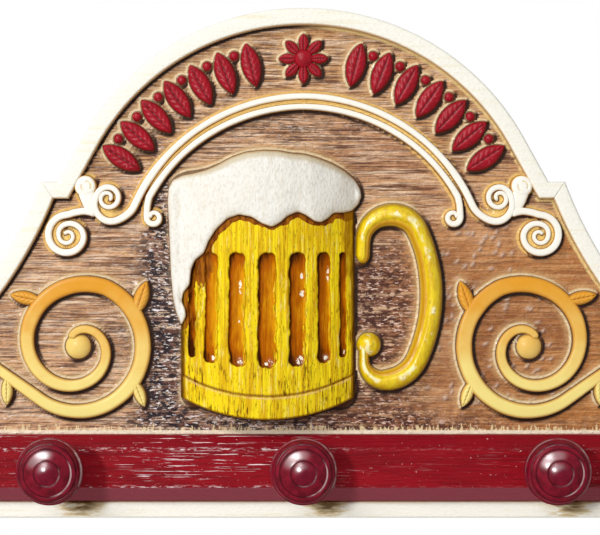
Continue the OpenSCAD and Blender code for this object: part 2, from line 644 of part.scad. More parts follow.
module hanger_plate(x) color(steel) difference() {
    at_hanger(x, 0) linear_extrude(plate_t) difference() {
        plate_shape(0);
        keyhole(0);
    }
    for (z = plate_screw_z) at_hanger(x, z) sunk_screw(plate_screw_r, plate_t + cut, thread_clear);
}
module left_hanger_plate() hanger_plate(hanger_x[0]);
module right_hanger_plate() hanger_plate(hanger_x[1]);
module hanger_screws() color(steel) for (x = hanger_x, z = plate_screw_z) at_hanger(x, z) difference() {
    sunk_screw(plate_screw_r, plate_grip, 0);
    cross_recess(plate_screw_r);
}

back_board();
crest_border();
left_border();
right_border();
bottom_border();
peg_rail();
peg_left();
peg_centre();
peg_right();
peg_screws();
peg_washers();
rail_screws();
outer_arch_moulding();
inner_arch_moulding();
left_corner_scroll();
right_corner_scroll();
mug_body();
mug_foam();
mug_handle();
crest_leaves();
crest_beads();
crest_rosette();
left_side_scroll();
right_side_scroll();
left_hanger_plate();
right_hanger_plate();
hanger_screws();
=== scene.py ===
# %% [markdown]
# # A carved peg rack
# This lesson dresses a carved and painted wall rack: an arched board with a tooled field, a relief
# mug, scroll mouldings, gilded ornament and a red rail with three turned pegs. The solids come from
# the CAD model. Each piece here is a surface worked out with numpy from the same drawing, so that it
# lies where its solid does, with the soft edges and the brushwork that the solids leave out.

# %% Load the solids
import math

import bmesh
import bpy
import numpy as np
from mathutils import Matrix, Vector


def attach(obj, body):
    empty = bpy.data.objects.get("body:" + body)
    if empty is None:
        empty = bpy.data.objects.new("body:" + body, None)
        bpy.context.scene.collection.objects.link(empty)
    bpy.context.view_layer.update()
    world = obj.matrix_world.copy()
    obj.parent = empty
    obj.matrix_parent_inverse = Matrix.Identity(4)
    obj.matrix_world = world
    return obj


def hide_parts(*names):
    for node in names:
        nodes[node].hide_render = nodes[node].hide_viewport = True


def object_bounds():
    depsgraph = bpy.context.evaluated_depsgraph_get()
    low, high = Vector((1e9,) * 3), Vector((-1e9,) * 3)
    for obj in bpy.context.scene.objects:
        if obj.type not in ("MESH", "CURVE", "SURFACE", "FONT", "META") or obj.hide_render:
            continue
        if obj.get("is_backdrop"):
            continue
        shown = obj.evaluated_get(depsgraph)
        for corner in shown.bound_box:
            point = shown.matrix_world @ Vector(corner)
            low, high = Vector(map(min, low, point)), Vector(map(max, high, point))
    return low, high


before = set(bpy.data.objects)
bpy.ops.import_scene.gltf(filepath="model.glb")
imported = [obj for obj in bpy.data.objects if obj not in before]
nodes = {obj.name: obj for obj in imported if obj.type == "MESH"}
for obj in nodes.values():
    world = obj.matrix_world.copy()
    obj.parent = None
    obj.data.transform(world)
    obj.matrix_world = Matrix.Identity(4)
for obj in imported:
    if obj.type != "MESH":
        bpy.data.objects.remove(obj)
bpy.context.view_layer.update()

# %% [markdown]
# ## Front-view millimetres
# A carver works from a drawing of the front. So every shape below is given in millimetres of that
# drawing: x to the right, h above the foot of the board, and out from the field towards the viewer.
# One function turns such places into Blender's metres, and another makes a mesh of a grid of them.

# %% From the drawing to a mesh
FIELD = 18.0
HANGER = 205.0


def place(x, h, out):
    """Metres in the part's frame: x stays X, h becomes Z and out becomes -Y in front of the field."""
    x, h, out = np.broadcast_arrays(x, h, out)
    return np.stack([x, -FIELD - out, h - HANGER], -1) / 1000


def quads_of(rows, columns, wrap, start):
    """Quads between neighbours of a grid, with the last column joined to the first if it wraps."""
    i, j = np.mgrid[0:rows - 1, 0:columns if wrap else columns - 1]
    a, b = i * columns + j, i * columns + (j + 1) % columns
    return (np.stack([a, b, b + columns, a + columns], -1).reshape(-1, 4) + start).tolist()


def rim_of(rows, columns, start):
    """The grid's boundary as one loop of points: down one side, along the next, and so back."""
    k = np.arange(rows * columns).reshape(rows, columns) + start
    return np.r_[k[0, :-1], k[:-1, -1], k[-1, :0:-1], k[:0:-1, 0]].tolist()


def surface(name, grids, material, stands_for=(), wrap=False):
    """One closed mesh from (points, masks) grids. A wrapped grid is a tube and gets a face at each end.
    Any other grid is a relief, and its boundary gets one face at the back. Masks are values per point."""
    points, faces, lids, start = [], [], [], 0
    for grid, _ in grids:
        rows, columns = grid.shape[:2]
        faces += quads_of(rows, columns, wrap, start)
        if wrap:
            ring = np.arange(columns) + start
            lids += [ring[::-1].tolist(), (ring + (rows - 1) * columns).tolist()]
        else:
            lids.append(rim_of(rows, columns, start))
        points.append(grid.reshape(-1, 3))
        start += rows * columns
    mesh = bpy.data.meshes.new(name)
    mesh.from_pydata(np.concatenate(points).tolist(), [], faces + lids)
    for key in grids[0][1]:
        values = np.concatenate([np.broadcast_to(m[key], g.shape[:2]).ravel() for g, m in grids])
        mesh.attributes.new(key, "FLOAT", "POINT").data.foreach_set("value", values.astype(np.float32))
    smooth = np.arange(len(mesh.polygons)) < len(faces)
    mesh.polygons.foreach_set("use_smooth", smooth)
    shell = bmesh.new()
    shell.from_mesh(mesh)
    bmesh.ops.recalc_face_normals(shell, faces=shell.faces)
    shell.to_mesh(mesh)
    shell.free()
    mesh.materials.append(material)
    piece = bpy.data.objects.new(name, mesh)
    bpy.context.scene.collection.objects.link(piece)
    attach(piece, "root")
    if stands_for:
        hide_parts(*stands_for)
    print(f"{name}: {len(mesh.vertices)} points, {len(faces)} quads")
    return piece


# %% [markdown]
# ## Lines of the drawing
# The mouldings and scrolls are all bands that follow a line. The lines are chains of arcs and spirals,
# as a draughtsman draws them with compasses. A band is then one cross-section carried along its line.

# %% Arcs, spirals and bands
def arc(centre, radius, a0, a1, step=0.8):
    """Points round a circle from angle a0 to a1, in degrees, about one step apart."""
    return spiral(centre, radius, radius, a0, a1, step)


def spiral(centre, r0, r1, a0, a1, step=0.8):
    """Points whose radius goes evenly from r0 to r1 while their angle goes from a0 to a1."""
    n = max(6, int(abs(math.radians(a1 - a0)) * (r0 + r1) / 2 / step))
    a, r = np.radians(np.linspace(a0, a1, n + 1)), np.linspace(r0, r1, n + 1)
    return np.array(centre) + r[:, None] * np.stack([np.cos(a), np.sin(a)], -1)


def toward(degrees):
    """The unit vector at that angle."""
    return np.array([math.cos(math.radians(degrees)), math.sin(math.radians(degrees))])


def walk(start, heading, steps):
    """A line that goes on from start: each step is (radius, turn in degrees) or (length, 0)."""
    line = [np.array([start], float)]
    for size, turn in steps:
        h = math.radians(heading)
        here = line[-1][-1]
        if turn == 0:
            reach = np.linspace(0, size, 8)[1:, None]
            line.append(here + reach * np.array([math.cos(h), math.sin(h)]))
        else:
            side = math.copysign(1, turn)
            centre = here + side * size * np.array([-math.sin(h), math.cos(h)])
            line.append(arc(centre, size, heading - 90 * side, heading - 90 * side + turn)[1:])
        heading += turn
    return np.concatenate(line)


def length_along(line):
    """Distance of each point from the line's start."""
    return np.r_[0, np.cumsum(np.hypot(*np.diff(line, axis=0).T))]


def even(line, step=0.8):
    """The same line with its points evenly spaced along it."""
    far = length_along(line)
    at = np.linspace(0, far[-1], max(6, int(far[-1] / step)))
    return np.stack([np.interp(at, far, line[:, 0]), np.interp(at, far, line[:, 1])], -1)


def eased(values, reach):
    """A running mean with a bell-shaped weight over 2 * reach + 1 neighbours, the ends held."""
    weight = np.hanning(2 * reach + 3)[1:-1]
    return np.convolve(np.pad(values, reach, mode="edge"), weight / weight.sum(), "valid")


def through(knots, count, reach=9):
    """As many points through a row of knots, with the corners eased along the line."""
    fine = even(np.array(knots, float), 0.25)
    fine = np.stack([eased(fine[:, k], reach) for k in (0, 1)], -1)
    far = length_along(fine)
    at = np.linspace(0, far[-1], count)
    return np.stack([np.interp(at, far, fine[:, k]) for k in (0, 1)], -1)


def whorl(centre, knots):
    """A spiral whose radius follows knots (angle, radius), eased between them."""
    knots = np.array(knots, float)
    a = np.linspace(knots[0, 0], knots[-1, 0], int(abs(knots[-1, 0] - knots[0, 0])))
    order = np.argsort(knots[:, 0])
    r = eased(np.interp(a, knots[order, 0], knots[order, 1]), 25)
    return np.array(centre) + r[:, None] * np.stack([np.cos(np.radians(a)), np.sin(np.radians(a))], -1)


def smoothstep(t):
    """Eases from 0 to 1 as t goes from 0 to 1."""
    t = np.clip(t, 0, 1)
    return t * t * (3 - 2 * t)


def crowded(count, reach):
    """Shares from -1 to 1 that crowd at both ends: the sine of even steps up to that reach."""
    return np.sin(np.linspace(-reach, reach, count)) / math.sin(reach)


def ringed(u):
    """Repeats the first and last value of a parameter, for a wall that drops from the edge."""
    return np.r_[u[0], u, u[-1]]


def nearest(x, h, line):
    """Distance from each point of a grid to the nearest point of a line."""
    points = np.column_stack([x.ravel(), h.ravel()])
    return np.concatenate([np.min(np.hypot(p[:, :1] - line[:, 0], p[:, 1:] - line[:, 1]), 1)
                           for p in np.array_split(points, 80)]).reshape(x.shape)


def sideways(line):
    """Unit normals along a line: its direction turned by a quarter."""
    d = np.gradient(line, axis=0)
    return np.stack([-d[:, 1], d[:, 0]], -1) / np.hypot(d[:, 0], d[:, 1])[:, None]


def grain(x, y, size_x, size_y, seed):
    """Smooth random waves from -1 to 1: values on a lattice, eased from corner to corner."""
    table = np.random.default_rng(seed).uniform(-1, 1, (97, 89))
    u, v = x / size_x + 500.37, y / size_y + 500.71
    i, j = np.floor(u).astype(int), np.floor(v).astype(int)
    f, g = u - i, v - j
    f, g = f * f * (3 - 2 * f), g * g * (3 - 2 * g)
    low = table[i % 97, j % 89] * (1 - f) + table[(i + 1) % 97, j % 89] * f
    high = table[i % 97, (j + 1) % 89] * (1 - f) + table[(i + 1) % 97, (j + 1) % 89] * f
    return low * (1 - g) + high * g


BURY = 1.0


def sink_rim(out):
    """Drops the outermost ring of a relief's heights behind the field, where its walls end."""
    out[[0, -1]] = -BURY
    out[:, [0, -1]] = -BURY


def round_ends(line, half):
    """Half-widths that shrink at both ends of a line like the edge of a circle."""
    far = length_along(line)
    left = np.clip(np.minimum(far, far[-1] - far) / half, 0.0004, 1)
    return half * np.sqrt(1 - (1 - left) ** 2)


def band(line, half, tall, flat=5.0, seed=1):
    """A raised band: across it, height is tall * (1 - |s|^flat)^(1/flat) for s from edge to edge.
    Its ends are rounded, and its width wavers a little, as hand carving does."""
    far = length_along(line)
    half = np.broadcast_to(half, len(line)) * (1 + 0.04 * grain(far, far * 0, 9, 9, seed))
    shrunk = round_ends(line, half)
    s = np.sin(np.linspace(-np.pi / 2, np.pi / 2, 21))
    s = np.r_[-1, s, 1]
    up = (1 - np.abs(s) ** flat) ** (1 / flat)
    out = tall * np.sqrt(shrunk / half)[:, None] * up
    out[:, [0, -1]] = -BURY
    across = shrunk[:, None] * s
    n = sideways(line)
    grid = place(line[:, :1] + n[:, :1] * across, line[:, 1:] + n[:, 1:] * across, out)
    return grid, {"edge": np.abs(s) + 0 * out, "rise": np.clip(out / tall, 0, 1)}


print("a quarter circle of 10 mm has", len(arc((0, 0), 10, 0, 90)), "points")

# %% [markdown]
# ## Finishes: shared helpers
# All paint here is procedural: noise on Object coordinates, and masks that the surfaces carry as
# attributes, such as how near a point is to its band's edge. Small helpers keep each finish readable.

# %% Helpers for shader nodes
def srgb(r, g, b):
    """The linear colour of an 8-bit screen colour."""
    c = np.array([r, g, b]) / 255
    return (*np.where(c <= 0.04045, c / 12.92, ((c + 0.055) / 1.055) ** 2.4).tolist(), 1.0)


def put(socket, value):
    """Links a socket to another, or sets its value."""
    if isinstance(value, bpy.types.NodeSocket):
        socket.id_data.links.new(value, socket)
    else:
        socket.default_value = value


def add(tree, kind, settings=None, **inputs):
    """A new node with its settings and inputs."""
    node = tree.nodes.new("ShaderNode" + kind)
    for key, value in (settings or {}).items():
        setattr(node, key, value)
    for key, value in inputs.items():
        put(node.inputs[key.replace("_", " ")], value)
    return node


def mix(tree, share, a, b, blend="MIX"):
    """Colour a with a share of colour b."""
    node = add(tree, "Mix", {"data_type": "RGBA", "blend_type": blend})
    put(node.inputs[0], share)
    put(node.inputs[6], a)
    put(node.inputs[7], b)
    return node.outputs[2]


def sums(tree, operation, a, b):
    """One arithmetic step on two values."""
    node = add(tree, "Math", {"operation": operation})
    put(node.inputs[0], a)
    put(node.inputs[1], b)
    return node.outputs[0]


def times(tree, a, b):
    """Two values multiplied."""
    return sums(tree, "MULTIPLY", a, b)


def wavering(tree, value, noise, amount):
    """A value pushed to and fro by a noise that swings about 0.5."""
    return sums(tree, "ADD", value, times(tree, sums(tree, "SUBTRACT", noise, 0.5), amount))


def remap(tree, value, low, high, to_low=0.0, to_high=1.0):
    """A smooth step: value from low to high becomes to_low to to_high."""
    node = add(tree, "MapRange", {"interpolation_type": "SMOOTHSTEP"})
    ends = {"Value": value, "From Min": low, "From Max": high, "To Min": to_low, "To Max": to_high}
    for key, end in ends.items():
        put(node.inputs[key], end)
    return node.outputs[0]


def glaze(tree, base, where, strength, colour):
    """A colour laid over the base where a mask is 1, at that strength."""
    return mix(tree, times(tree, where, strength), base, srgb(*colour))


def shift(tree, base, value, low, high, colour, strength=1.0):
    """A colour that comes over the base as a value goes from low to high."""
    return mix(tree, remap(tree, value, low, high, 0.0, strength), base, srgb(*colour))


def mask(tree, name):
    """A value that the surface carries at each point."""
    return add(tree, "Attribute", {"attribute_name": name}).outputs["Fac"]


def spot_of(tree):
    """The place on the part as X, Y and Z, in metres."""
    return add(tree, "SeparateXYZ", Vector=add(tree, "TexCoord").outputs["Object"]).outputs


def group(name, inputs, outputs):
    """An empty node group with named sockets: (name, kind, value) for each input."""
    tree = bpy.data.node_groups.new(name, "ShaderNodeTree")
    for key, kind, value in inputs:
        socket = tree.interface.new_socket(key, in_out="INPUT", socket_type="NodeSocket" + kind)
        socket.default_value = value
    for key, kind in outputs:
        tree.interface.new_socket(key, in_out="OUTPUT", socket_type="NodeSocket" + kind)
    return tree, tree.nodes.new("NodeGroupInput").outputs, tree.nodes.new("NodeGroupOutput").inputs


def use(tree, made, **inputs):
    """Places a group in a material."""
    node = tree.nodes.new("ShaderNodeGroup")
    node.node_tree = made
    for key, value in inputs.items():
        put(node.inputs[key.replace("_", " ")], value)
    return node.outputs


def finish(name, roughness, specular=0.5, coat=0.0, coat_roughness=0.2):
    """A material with its node tree and Principled shader; plain values are set on the shader."""
    material = bpy.data.materials.new(name)
    material.use_nodes = True
    tree = material.node_tree
    shader = tree.nodes["Principled BSDF"]
    for key, value in (("Roughness", roughness), ("Specular IOR Level", specular), ("Coat Weight", coat),
                       ("Coat Roughness", coat_roughness)):
        put(shader.inputs[key], value)
    return material, tree, shader


def bump(tree, shader, height, depth):
    """A bump of that depth in metres on the shader's normal."""
    node = add(tree, "Bump", Height=height, Distance=depth, Strength=1.0)
    put(shader.inputs["Normal"], node.outputs["Normal"])


# %% Two effects that many finishes share
streaks, given, result = group("Brush streaks", [("Scale", "Vector", (60, 60, 60)), ("Low", "Float", 0.4),
                               ("High", "Float", 0.6)], [("Mask", "Float"), ("Raw", "Float")])
where = add(streaks, "TexCoord").outputs["Object"]
stretched = add(streaks, "VectorMath", {"operation": "MULTIPLY"})
put(stretched.inputs[0], where)
put(stretched.inputs[1], given["Scale"])
raw = add(streaks, "TexNoise", Vector=stretched.outputs[0], Scale=1.0, Detail=4.0, Roughness=0.6).outputs[0]
put(result["Mask"], remap(streaks, raw, given["Low"], given["High"]))
put(result["Raw"], raw)

drift, given, result = group("Colour drift", [("Color", "Color", (1, 1, 1, 1)), ("Size", "Float", 40.0),
                             ("Amount", "Float", 0.1)], [("Color", "Color")])
where = add(drift, "TexCoord").outputs["Object"]
cloud = add(drift, "TexNoise", Vector=where, Scale=given["Size"], Detail=3.0).outputs[0]
swing = times(drift, sums(drift, "SUBTRACT", cloud, 0.5), given["Amount"])
put(result["Color"], add(drift, "HueSaturation", Hue=sums(drift, "ADD", times(drift, swing, 0.12), 0.5),
    Saturation=1.0, Value=sums(drift, "ADD", times(drift, swing, 2.0), 1.0), Color=given["Color"]).outputs[0])
print("groups:", [g.name for g in bpy.data.node_groups])

# %% [markdown]
# ## The board's outline and its cream border
# The border is a flat moulding with softly rounded edges, painted cream. Its two outlines are parallel,
# so each line of its cross-section is the board's outline moved inwards by that much. A bevelled curve
# would pinch at the shoulders, where the outline steps, so the lines are worked out one by one.

# %% Outline of the board, moved inwards by d
ARCH, ARCH_C, TURN = 151.0, 154.0, math.radians(61)
SHOULDER, STEP, TOE = 201.0, 10.0, 85.0
SLOPE, TILT = 35.0, 20.3
END, HALF_BOARD, CORNER = 108.0, 305.0, 8.0
SWEEP = ((SHOULDER - END - TOE * (1 - math.sin(math.radians(SLOPE))))
         / (math.sin(math.radians(SLOPE)) - math.sin(math.radians(TILT))))
SWEEP_H = SHOULDER + SWEEP * math.sin(math.radians(TILT))


def flank_x(d):
    """Where the straight flank of the arch meets the shoulder's level."""
    round_x, round_h = (ARCH - d) * math.sin(TURN), ARCH_C + (ARCH - d) * math.cos(TURN)
    return round_x + (round_h - SHOULDER + d) / math.tan(TURN)


def sweep_start(d):
    """Angle, in degrees, at which the sweep leaves the shoulder's level."""
    return 180 + math.degrees(math.asin((SWEEP_H - SHOULDER + d) / (SWEEP + d)))


SWEEP_X = flank_x(0) + STEP - SWEEP * math.cos(math.radians(sweep_start(0)))
TOE_X = SWEEP_X - (SWEEP - TOE) * math.cos(math.radians(SLOPE))


def polar(cx, cy, r, a0, a1, n):
    """n + 1 points of an arc, so that lines at any d have as many points."""
    a = np.radians(np.linspace(a0, a1, n + 1))
    return np.stack([cx + r * np.cos(a), cy + r * np.sin(a)], -1)


def straight(p, q, n):
    """n points from p towards q, without p."""
    t = np.linspace(0, 1, n + 1)[1:, None]
    return np.array(p) * (1 - t) + np.array(q) * t


def crest_half(d):
    """Crown to shoulder: the arch, its straight flank and the level step."""
    round_part = polar(0, ARCH_C, ARCH - d, 90, 90 - math.degrees(TURN), 150)
    corner = (flank_x(d), SHOULDER - d)
    a = math.radians(sweep_start(d))
    last = (SWEEP_X + (SWEEP + d) * math.cos(a), SHOULDER - d)
    return np.concatenate([round_part, straight(round_part[-1], corner, 14), straight(corner, last, 8)])


def side_half(d):
    """Shoulder to foot: the two arcs of the sweep, the level end, its corner and the upright end."""
    sweep = polar(SWEEP_X, SWEEP_H, SWEEP + d, sweep_start(d), 180 + SLOPE, 90)
    toe = polar(TOE_X, END + TOE, TOE + d, 180 + SLOPE, 270, 70)
    q = max(CORNER - d, 0.5)
    bend = polar(HALF_BOARD - d - q, END - d - q, q, 90, 0, 8)
    return np.concatenate([sweep, toe[1:], straight(toe[-1], bend[0], 40), bend[1:],
                           straight(bend[-1], (HALF_BOARD - d, d), 60)])


def foot_line(d):
    """The straight bottom edge, mitred at both ends."""
    x = np.linspace(HALF_BOARD - d, d - HALF_BOARD, 401)
    return np.stack([x, np.full(401, d)], -1)


def flipped(line):
    """The other side of a line, in the order that continues it."""
    return (line * [-1, 1])[::-1]


print("shoulder corner at", round(flank_x(0), 1), "mm, sweep radius", round(SWEEP, 1), "mm")

# %% Cream paint for the border and the board's edges
cream, tree, shader = finish("Cream border paint", 0.42, specular=0.3)
worn = use(tree, streaks, Scale=(60, 160, 160), Low=0.55, High=0.8)
fine = use(tree, streaks, Scale=(400, 500, 700), Low=0.56, High=0.8)
inner = remap(tree, mask(tree, "edge"), 0.90, 0.985)
outer = remap(tree, mask(tree, "edge"), 0.08, 0.0)
base = mix(tree, times(tree, worn["Mask"], 0.25), srgb(251, 248, 236), srgb(236, 222, 188))
base = glaze(tree, base, fine["Mask"], 0.25, (224, 210, 180))
plank = use(tree, streaks, Scale=(16, 160, 380), Low=0.52, High=0.72)
base = glaze(tree, base, plank["Mask"], 0.4, (234, 220, 172))
base = glaze(tree, base, inner, 0.8, (214, 172, 104))
base = glaze(tree, base, outer, 0.4, (226, 218, 200))
wiped = use(tree, streaks, Scale=(90, 300, 460))
# Painted shadow and grime: brown, gold-tinted patches on the foot border to the lower right of each peg, where
# the pegs' shadows fall.
grime_and_shadow = times(tree, mask(tree, "grime_and_shadow"), remap(tree, wiped["Raw"], 0.34, 0.6, 0.35, 1.1))
base = shift(tree, base, grime_and_shadow, 0.1, 0.5, (206, 176, 108), 0.75)
base = shift(tree, base, grime_and_shadow, 0.4, 1.0, (112, 80, 32), 0.95)
put(shader.inputs["Base Color"], base)
bump(tree, shader, fine["Raw"], 0.0005)

# %% The four lengths of border
BORDER_W, BORDER_T, BORDER_R, BORDER_BURY = 10.0, 6.0, 1.6, 0.9
# Where those patches of painted shadow and grime lie, right of each peg, and how wide they spread.
SHADOW_GRIME_X, SHADOW_GRIME_W = (-133, 13.5, 159), 13
quarter = np.radians(np.linspace(0, 90, 8))
inwards, fall = BORDER_R * (1 - np.cos(quarter)), BORDER_R * (1 - np.sin(quarter))
section_d = np.r_[0, inwards, BORDER_W - inwards[::-1], BORDER_W]
section_out = np.r_[-BORDER_BURY, BORDER_T - fall, BORDER_T - fall[::-1], -BORDER_BURY]


def border(name, line_at, node, flip=False):
    """The border's cross-section carried along its parallel lines, with a hand-planed waver."""
    lines = np.stack([line_at(d) for d in section_d], 1)
    if flip:
        lines = lines * [-1, 1]
    x, h = lines[..., 0], lines[..., 1]
    out = np.where(section_out > 0, section_out + 0.12 * grain(x, h, 30, 12, 3) - 0.12, section_out)
    edge = np.broadcast_to(section_d / BORDER_W, x.shape)
    # Painted shadow and grime to the lower right of each peg, on the foot border only.
    grime_and_shadow = sum(np.exp(-((x - at) / SHADOW_GRIME_W) ** 2) for at in SHADOW_GRIME_X) * smoothstep((h + 1) / 5)
    masks = {"edge": edge, "grime_and_shadow": grime_and_shadow * (node == "bottom_border")}
    return surface(name, [(place(x, h, out), masks)], cream, (node,), wrap=True)


def crest_line(d):
    """Both halves of the crest, from the left shoulder to the right one."""
    return np.concatenate([flipped(crest_half(d))[:-1], crest_half(d)])


border("border_crest", crest_line, "crest_border")
border("border_right", side_half, "right_border")
border("border_left", side_half, "left_border", flip=True)
border("border_foot", foot_line, "bottom_border")

# %% [markdown]
# ## The red rail
# The rail is a bevelled bar, painted crimson and scratched by years of use. A cube with a bevel would do,
# but a polygon with rounded corners, carried along the rail, also takes a planed waver. Extra corners close
# to the two front edges keep the mask "arris" narrow, which rubs the paint pale just there.

# %% Crimson paint with scratches
crimson, tree, shader = finish("Scratched crimson paint", 0.36, specular=0.1)
spot = spot_of(tree)["X"]
clusters = use(tree, streaks, Scale=(9, 30, 50), Low=0.50, High=0.62)
scratches = use(tree, streaks, Scale=(48, 300, 1500), Low=0.59, High=0.64)
flecks = use(tree, streaks, Scale=(240, 400, 1200), Low=0.68, High=0.73)
scratched = times(tree, scratches["Mask"], clusters["Mask"])
scratched = sums(tree, "MAXIMUM", scratched, times(tree, flecks["Mask"], 0.7))
edges = times(tree, remap(tree, flecks["Raw"], 0.52, 0.58), mask(tree, "arris"))
scratched = sums(tree, "MAXIMUM", scratched, times(tree, edges, 0.75))
scratched = times(tree, scratched, remap(tree, spot, 0.04, -0.01, 0.1, 1.0))
dots = use(tree, streaks, Scale=(520, 400, 620), Low=0.69, High=0.73)
scratched = sums(tree, "MAXIMUM", scratched, times(tree, dots["Mask"], 0.6))
dark = use(tree, streaks, Scale=(14, 60, 90), Low=0.4, High=0.7)
base = mix(tree, times(tree, dark["Mask"], 0.6), srgb(147, 6, 24), srgb(108, 2, 14))
lines = use(tree, streaks, Scale=(30, 200, 800), Low=0.52, High=0.62)
base = glaze(tree, base, lines["Mask"], 0.4, (84, 0, 10))
# Painted light on the bevels: the lower one is painted mauve as a reflection of the pale ground below, and the
# upper one darker red as shade.
lower_bevel_reflection = remap(tree, mask(tree, "bevel"), -0.4, -0.8)
base = mix(tree, lower_bevel_reflection, base, srgb(142, 60, 72))
upper_bevel_shade = remap(tree, mask(tree, "bevel"), 0.4, 0.8)
base = glaze(tree, base, upper_bevel_shade, 0.5, (132, 8, 26))
scratched = times(tree, scratched, sums(tree, "SUBTRACT", 1.0, times(tree, lower_bevel_reflection, 0.9)))
put(shader.inputs["Base Color"], mix(tree, scratched, base, srgb(254, 230, 232)))
put(shader.inputs["Roughness"], remap(tree, scratched, 0.0, 1.0, 0.34, 0.6))
bump(tree, shader, scratches["Raw"], 0.0005)

# %% The rail
RAIL_LOW, RAIL_TOP, RAIL_T, RAIL_HALF, RAIL_BURY = 10.8, 50.0, 16.0, 295, 0.5
LOW_EDGE, TOP_EDGE, BEVEL_D, EASE = 19.8, 42.2, 7.0, 0.7
NEAR_BEVEL, NEAR_FACE = 0.25, 2.5


def rounded(corners, radius, n=5):
    """A polygon with each corner replaced by a short curve: (1-t)^2 a + 2t(1-t) corner + t^2 b."""
    t = np.linspace(0, 1, n)[:, None]
    corners = np.array(corners, float)
    before, after = np.roll(corners, 1, 0), np.roll(corners, -1, 0)
    made = []
    for p, c, q in zip(before, corners, after):
        a = c + (p - c) * radius / np.linalg.norm(p - c)
        b = c + (q - c) * radius / np.linalg.norm(q - c)
        made.append((1 - t) ** 2 * a + 2 * t * (1 - t) * c + t ** 2 * b)
    return np.concatenate(made)


bevel_out = RAIL_T - NEAR_BEVEL * BEVEL_D
low_turn = [(bevel_out, LOW_EDGE + NEAR_BEVEL * (RAIL_LOW - LOW_EDGE)),
            (RAIL_T, LOW_EDGE), (RAIL_T, LOW_EDGE + NEAR_FACE)]
top_turn = [(RAIL_T, TOP_EDGE - NEAR_FACE), (RAIL_T, TOP_EDGE),
            (bevel_out, TOP_EDGE + NEAR_BEVEL * (RAIL_TOP - TOP_EDGE))]
outline = rounded([(-RAIL_BURY, RAIL_LOW), (RAIL_T - BEVEL_D, RAIL_LOW), *low_turn,
                   *top_turn, (RAIL_T - BEVEL_D, RAIL_TOP), (-RAIL_BURY, RAIL_TOP)], EASE)
along = np.linspace(-RAIL_HALF, RAIL_HALF, 296)[:, None]
out = outline[:, 0] - 0.12 - 0.12 * grain(along, outline[:, 1], 45, 9, 5) * (outline[:, 0] > 1)
h = outline[:, 1] + 0 * along
tilt = 1.0 * (h > TOP_EDGE + 0.1) - 1.0 * (h < LOW_EDGE - 0.1)
arris = np.exp(-((h - LOW_EDGE) / 0.7) ** 2) + np.exp(-((h - TOP_EDGE) / 0.7) ** 2)
masks = {"bevel": tilt, "arris": arris}
surface("rail", [(place(along, h, out), masks)], crimson, ("peg_rail",), wrap=True)

# %% [markdown]
# ## Three turned pegs
# A peg is turned on a lathe: a waisted stem, a broad head and rings cut into its face. So it is one profile
# spun about its axis. The slopes of the rings decide which of them mirror a lamp. The mask "polish" says
# where hands have rubbed the lacquer bright, and "rim" where pale highlights are painted in arcs along the
# edges of the rings. The grooves between the rings are darkened with painted shade.

# %% Dark red lacquer for the pegs
lacquer, tree, shader = finish("Dark red lacquer", 0.3, specular=0.05, coat_roughness=0.27)
put(shader.inputs["Coat IOR"], 2.4)
turned = use(tree, streaks, Scale=(220, 220, 220), Low=0.35, High=0.7)
base = mix(tree, times(tree, turned["Mask"], 0.8), srgb(128, 16, 38), srgb(84, 4, 20))
# Painted shade: the grooves between the rings are darkened.
base = shift(tree, base, mask(tree, "groove"), 0.2, 1.0, (34, 0, 8), 0.85)
base = shift(tree, base, mask(tree, "crown"), 0.3, 1.0, (96, 6, 40), 0.4)
# Painted highlights: pale pink arcs along the edges of the rings, from the mask "rim".
worn = times(tree, mask(tree, "rim"), remap(tree, turned["Raw"], 0.3, 0.6, 0.6, 1.0))
base = shift(tree, base, worn, 0.2, 0.9, (238, 202, 204), 0.9)
put(shader.inputs["Base Color"], base)
put(shader.inputs["Coat Weight"], remap(tree, mask(tree, "polish"), 0.0, 1.0, 0.04, 1.0))
bump(tree, shader, turned["Raw"], 0.0002)

# %% The three pegs
PEG_H, PEG_GAP, PEG_OUT, HEAD = 32.5, 146.0, RAIL_T, 19.5
FACE_OUT, FACE_T = 27, 10


def turned_ring(r0, r1, l0, l1, n=16):
    """A quarter wave of the turned face, from radius share r0 to r1 and depth share l0 to l1."""
    a = np.radians(np.linspace(0, 90, n))
    deep = l0 + (l1 - l0) * np.sin(a)
    return np.stack([HEAD * (r0 - (r0 - r1) * (1 - np.cos(a))), FACE_OUT + FACE_T * deep], -1)


def turned_slope(r0, r1, l0, l1, swell, n=24):
    """A broad ring with a swell: the depth rises as 1 - (1 - t)^swell while the radius shrinks."""
    t = np.linspace(0, 1, n)
    deep = l0 + (l1 - l0) * (1 - (1 - t) ** swell)
    return np.stack([HEAD * (r0 + (r1 - r0) * t), FACE_OUT + FACE_T * deep], -1)


def turned_groove(r, l):
    """A fine groove behind a ring."""
    return np.array([[HEAD * r - 0.5, FACE_OUT - 0.5 + FACE_T * l]])


u = np.linspace(0, 1, 40)
neck = np.stack([7.5 + 3 * (1 - u) ** 3 + 9.5 * u ** 4, 4 + 18 * u], -1)
foot = np.concatenate([[[0.02, 0], [11.6, 0]], polar(11.5, 0.5, 0.5, -90, 0, 3),
                       polar(10.5, 2.5, 1.5, 0, 80, 6)])
grooves = ((0.86, 0.38), (0.72, 0.56), (0.40, 0.82))
peg_line = np.concatenate([foot, neck, polar(17, 24.5, 2.5, -80, 60, 20),
                           turned_ring(0.925, 0.86, 0.02, 0.38), turned_groove(*grooves[0]),
                           turned_ring(0.83, 0.725, 0.40, 0.56), turned_groove(*grooves[1]),
                           turned_slope(0.69, 0.40, 0.55, 0.82, 1.2), turned_groove(*grooves[2]),
                           turned_slope(0.37, 0.02, 0.80, 1.0, 1.8), [[0.02, 37]]])
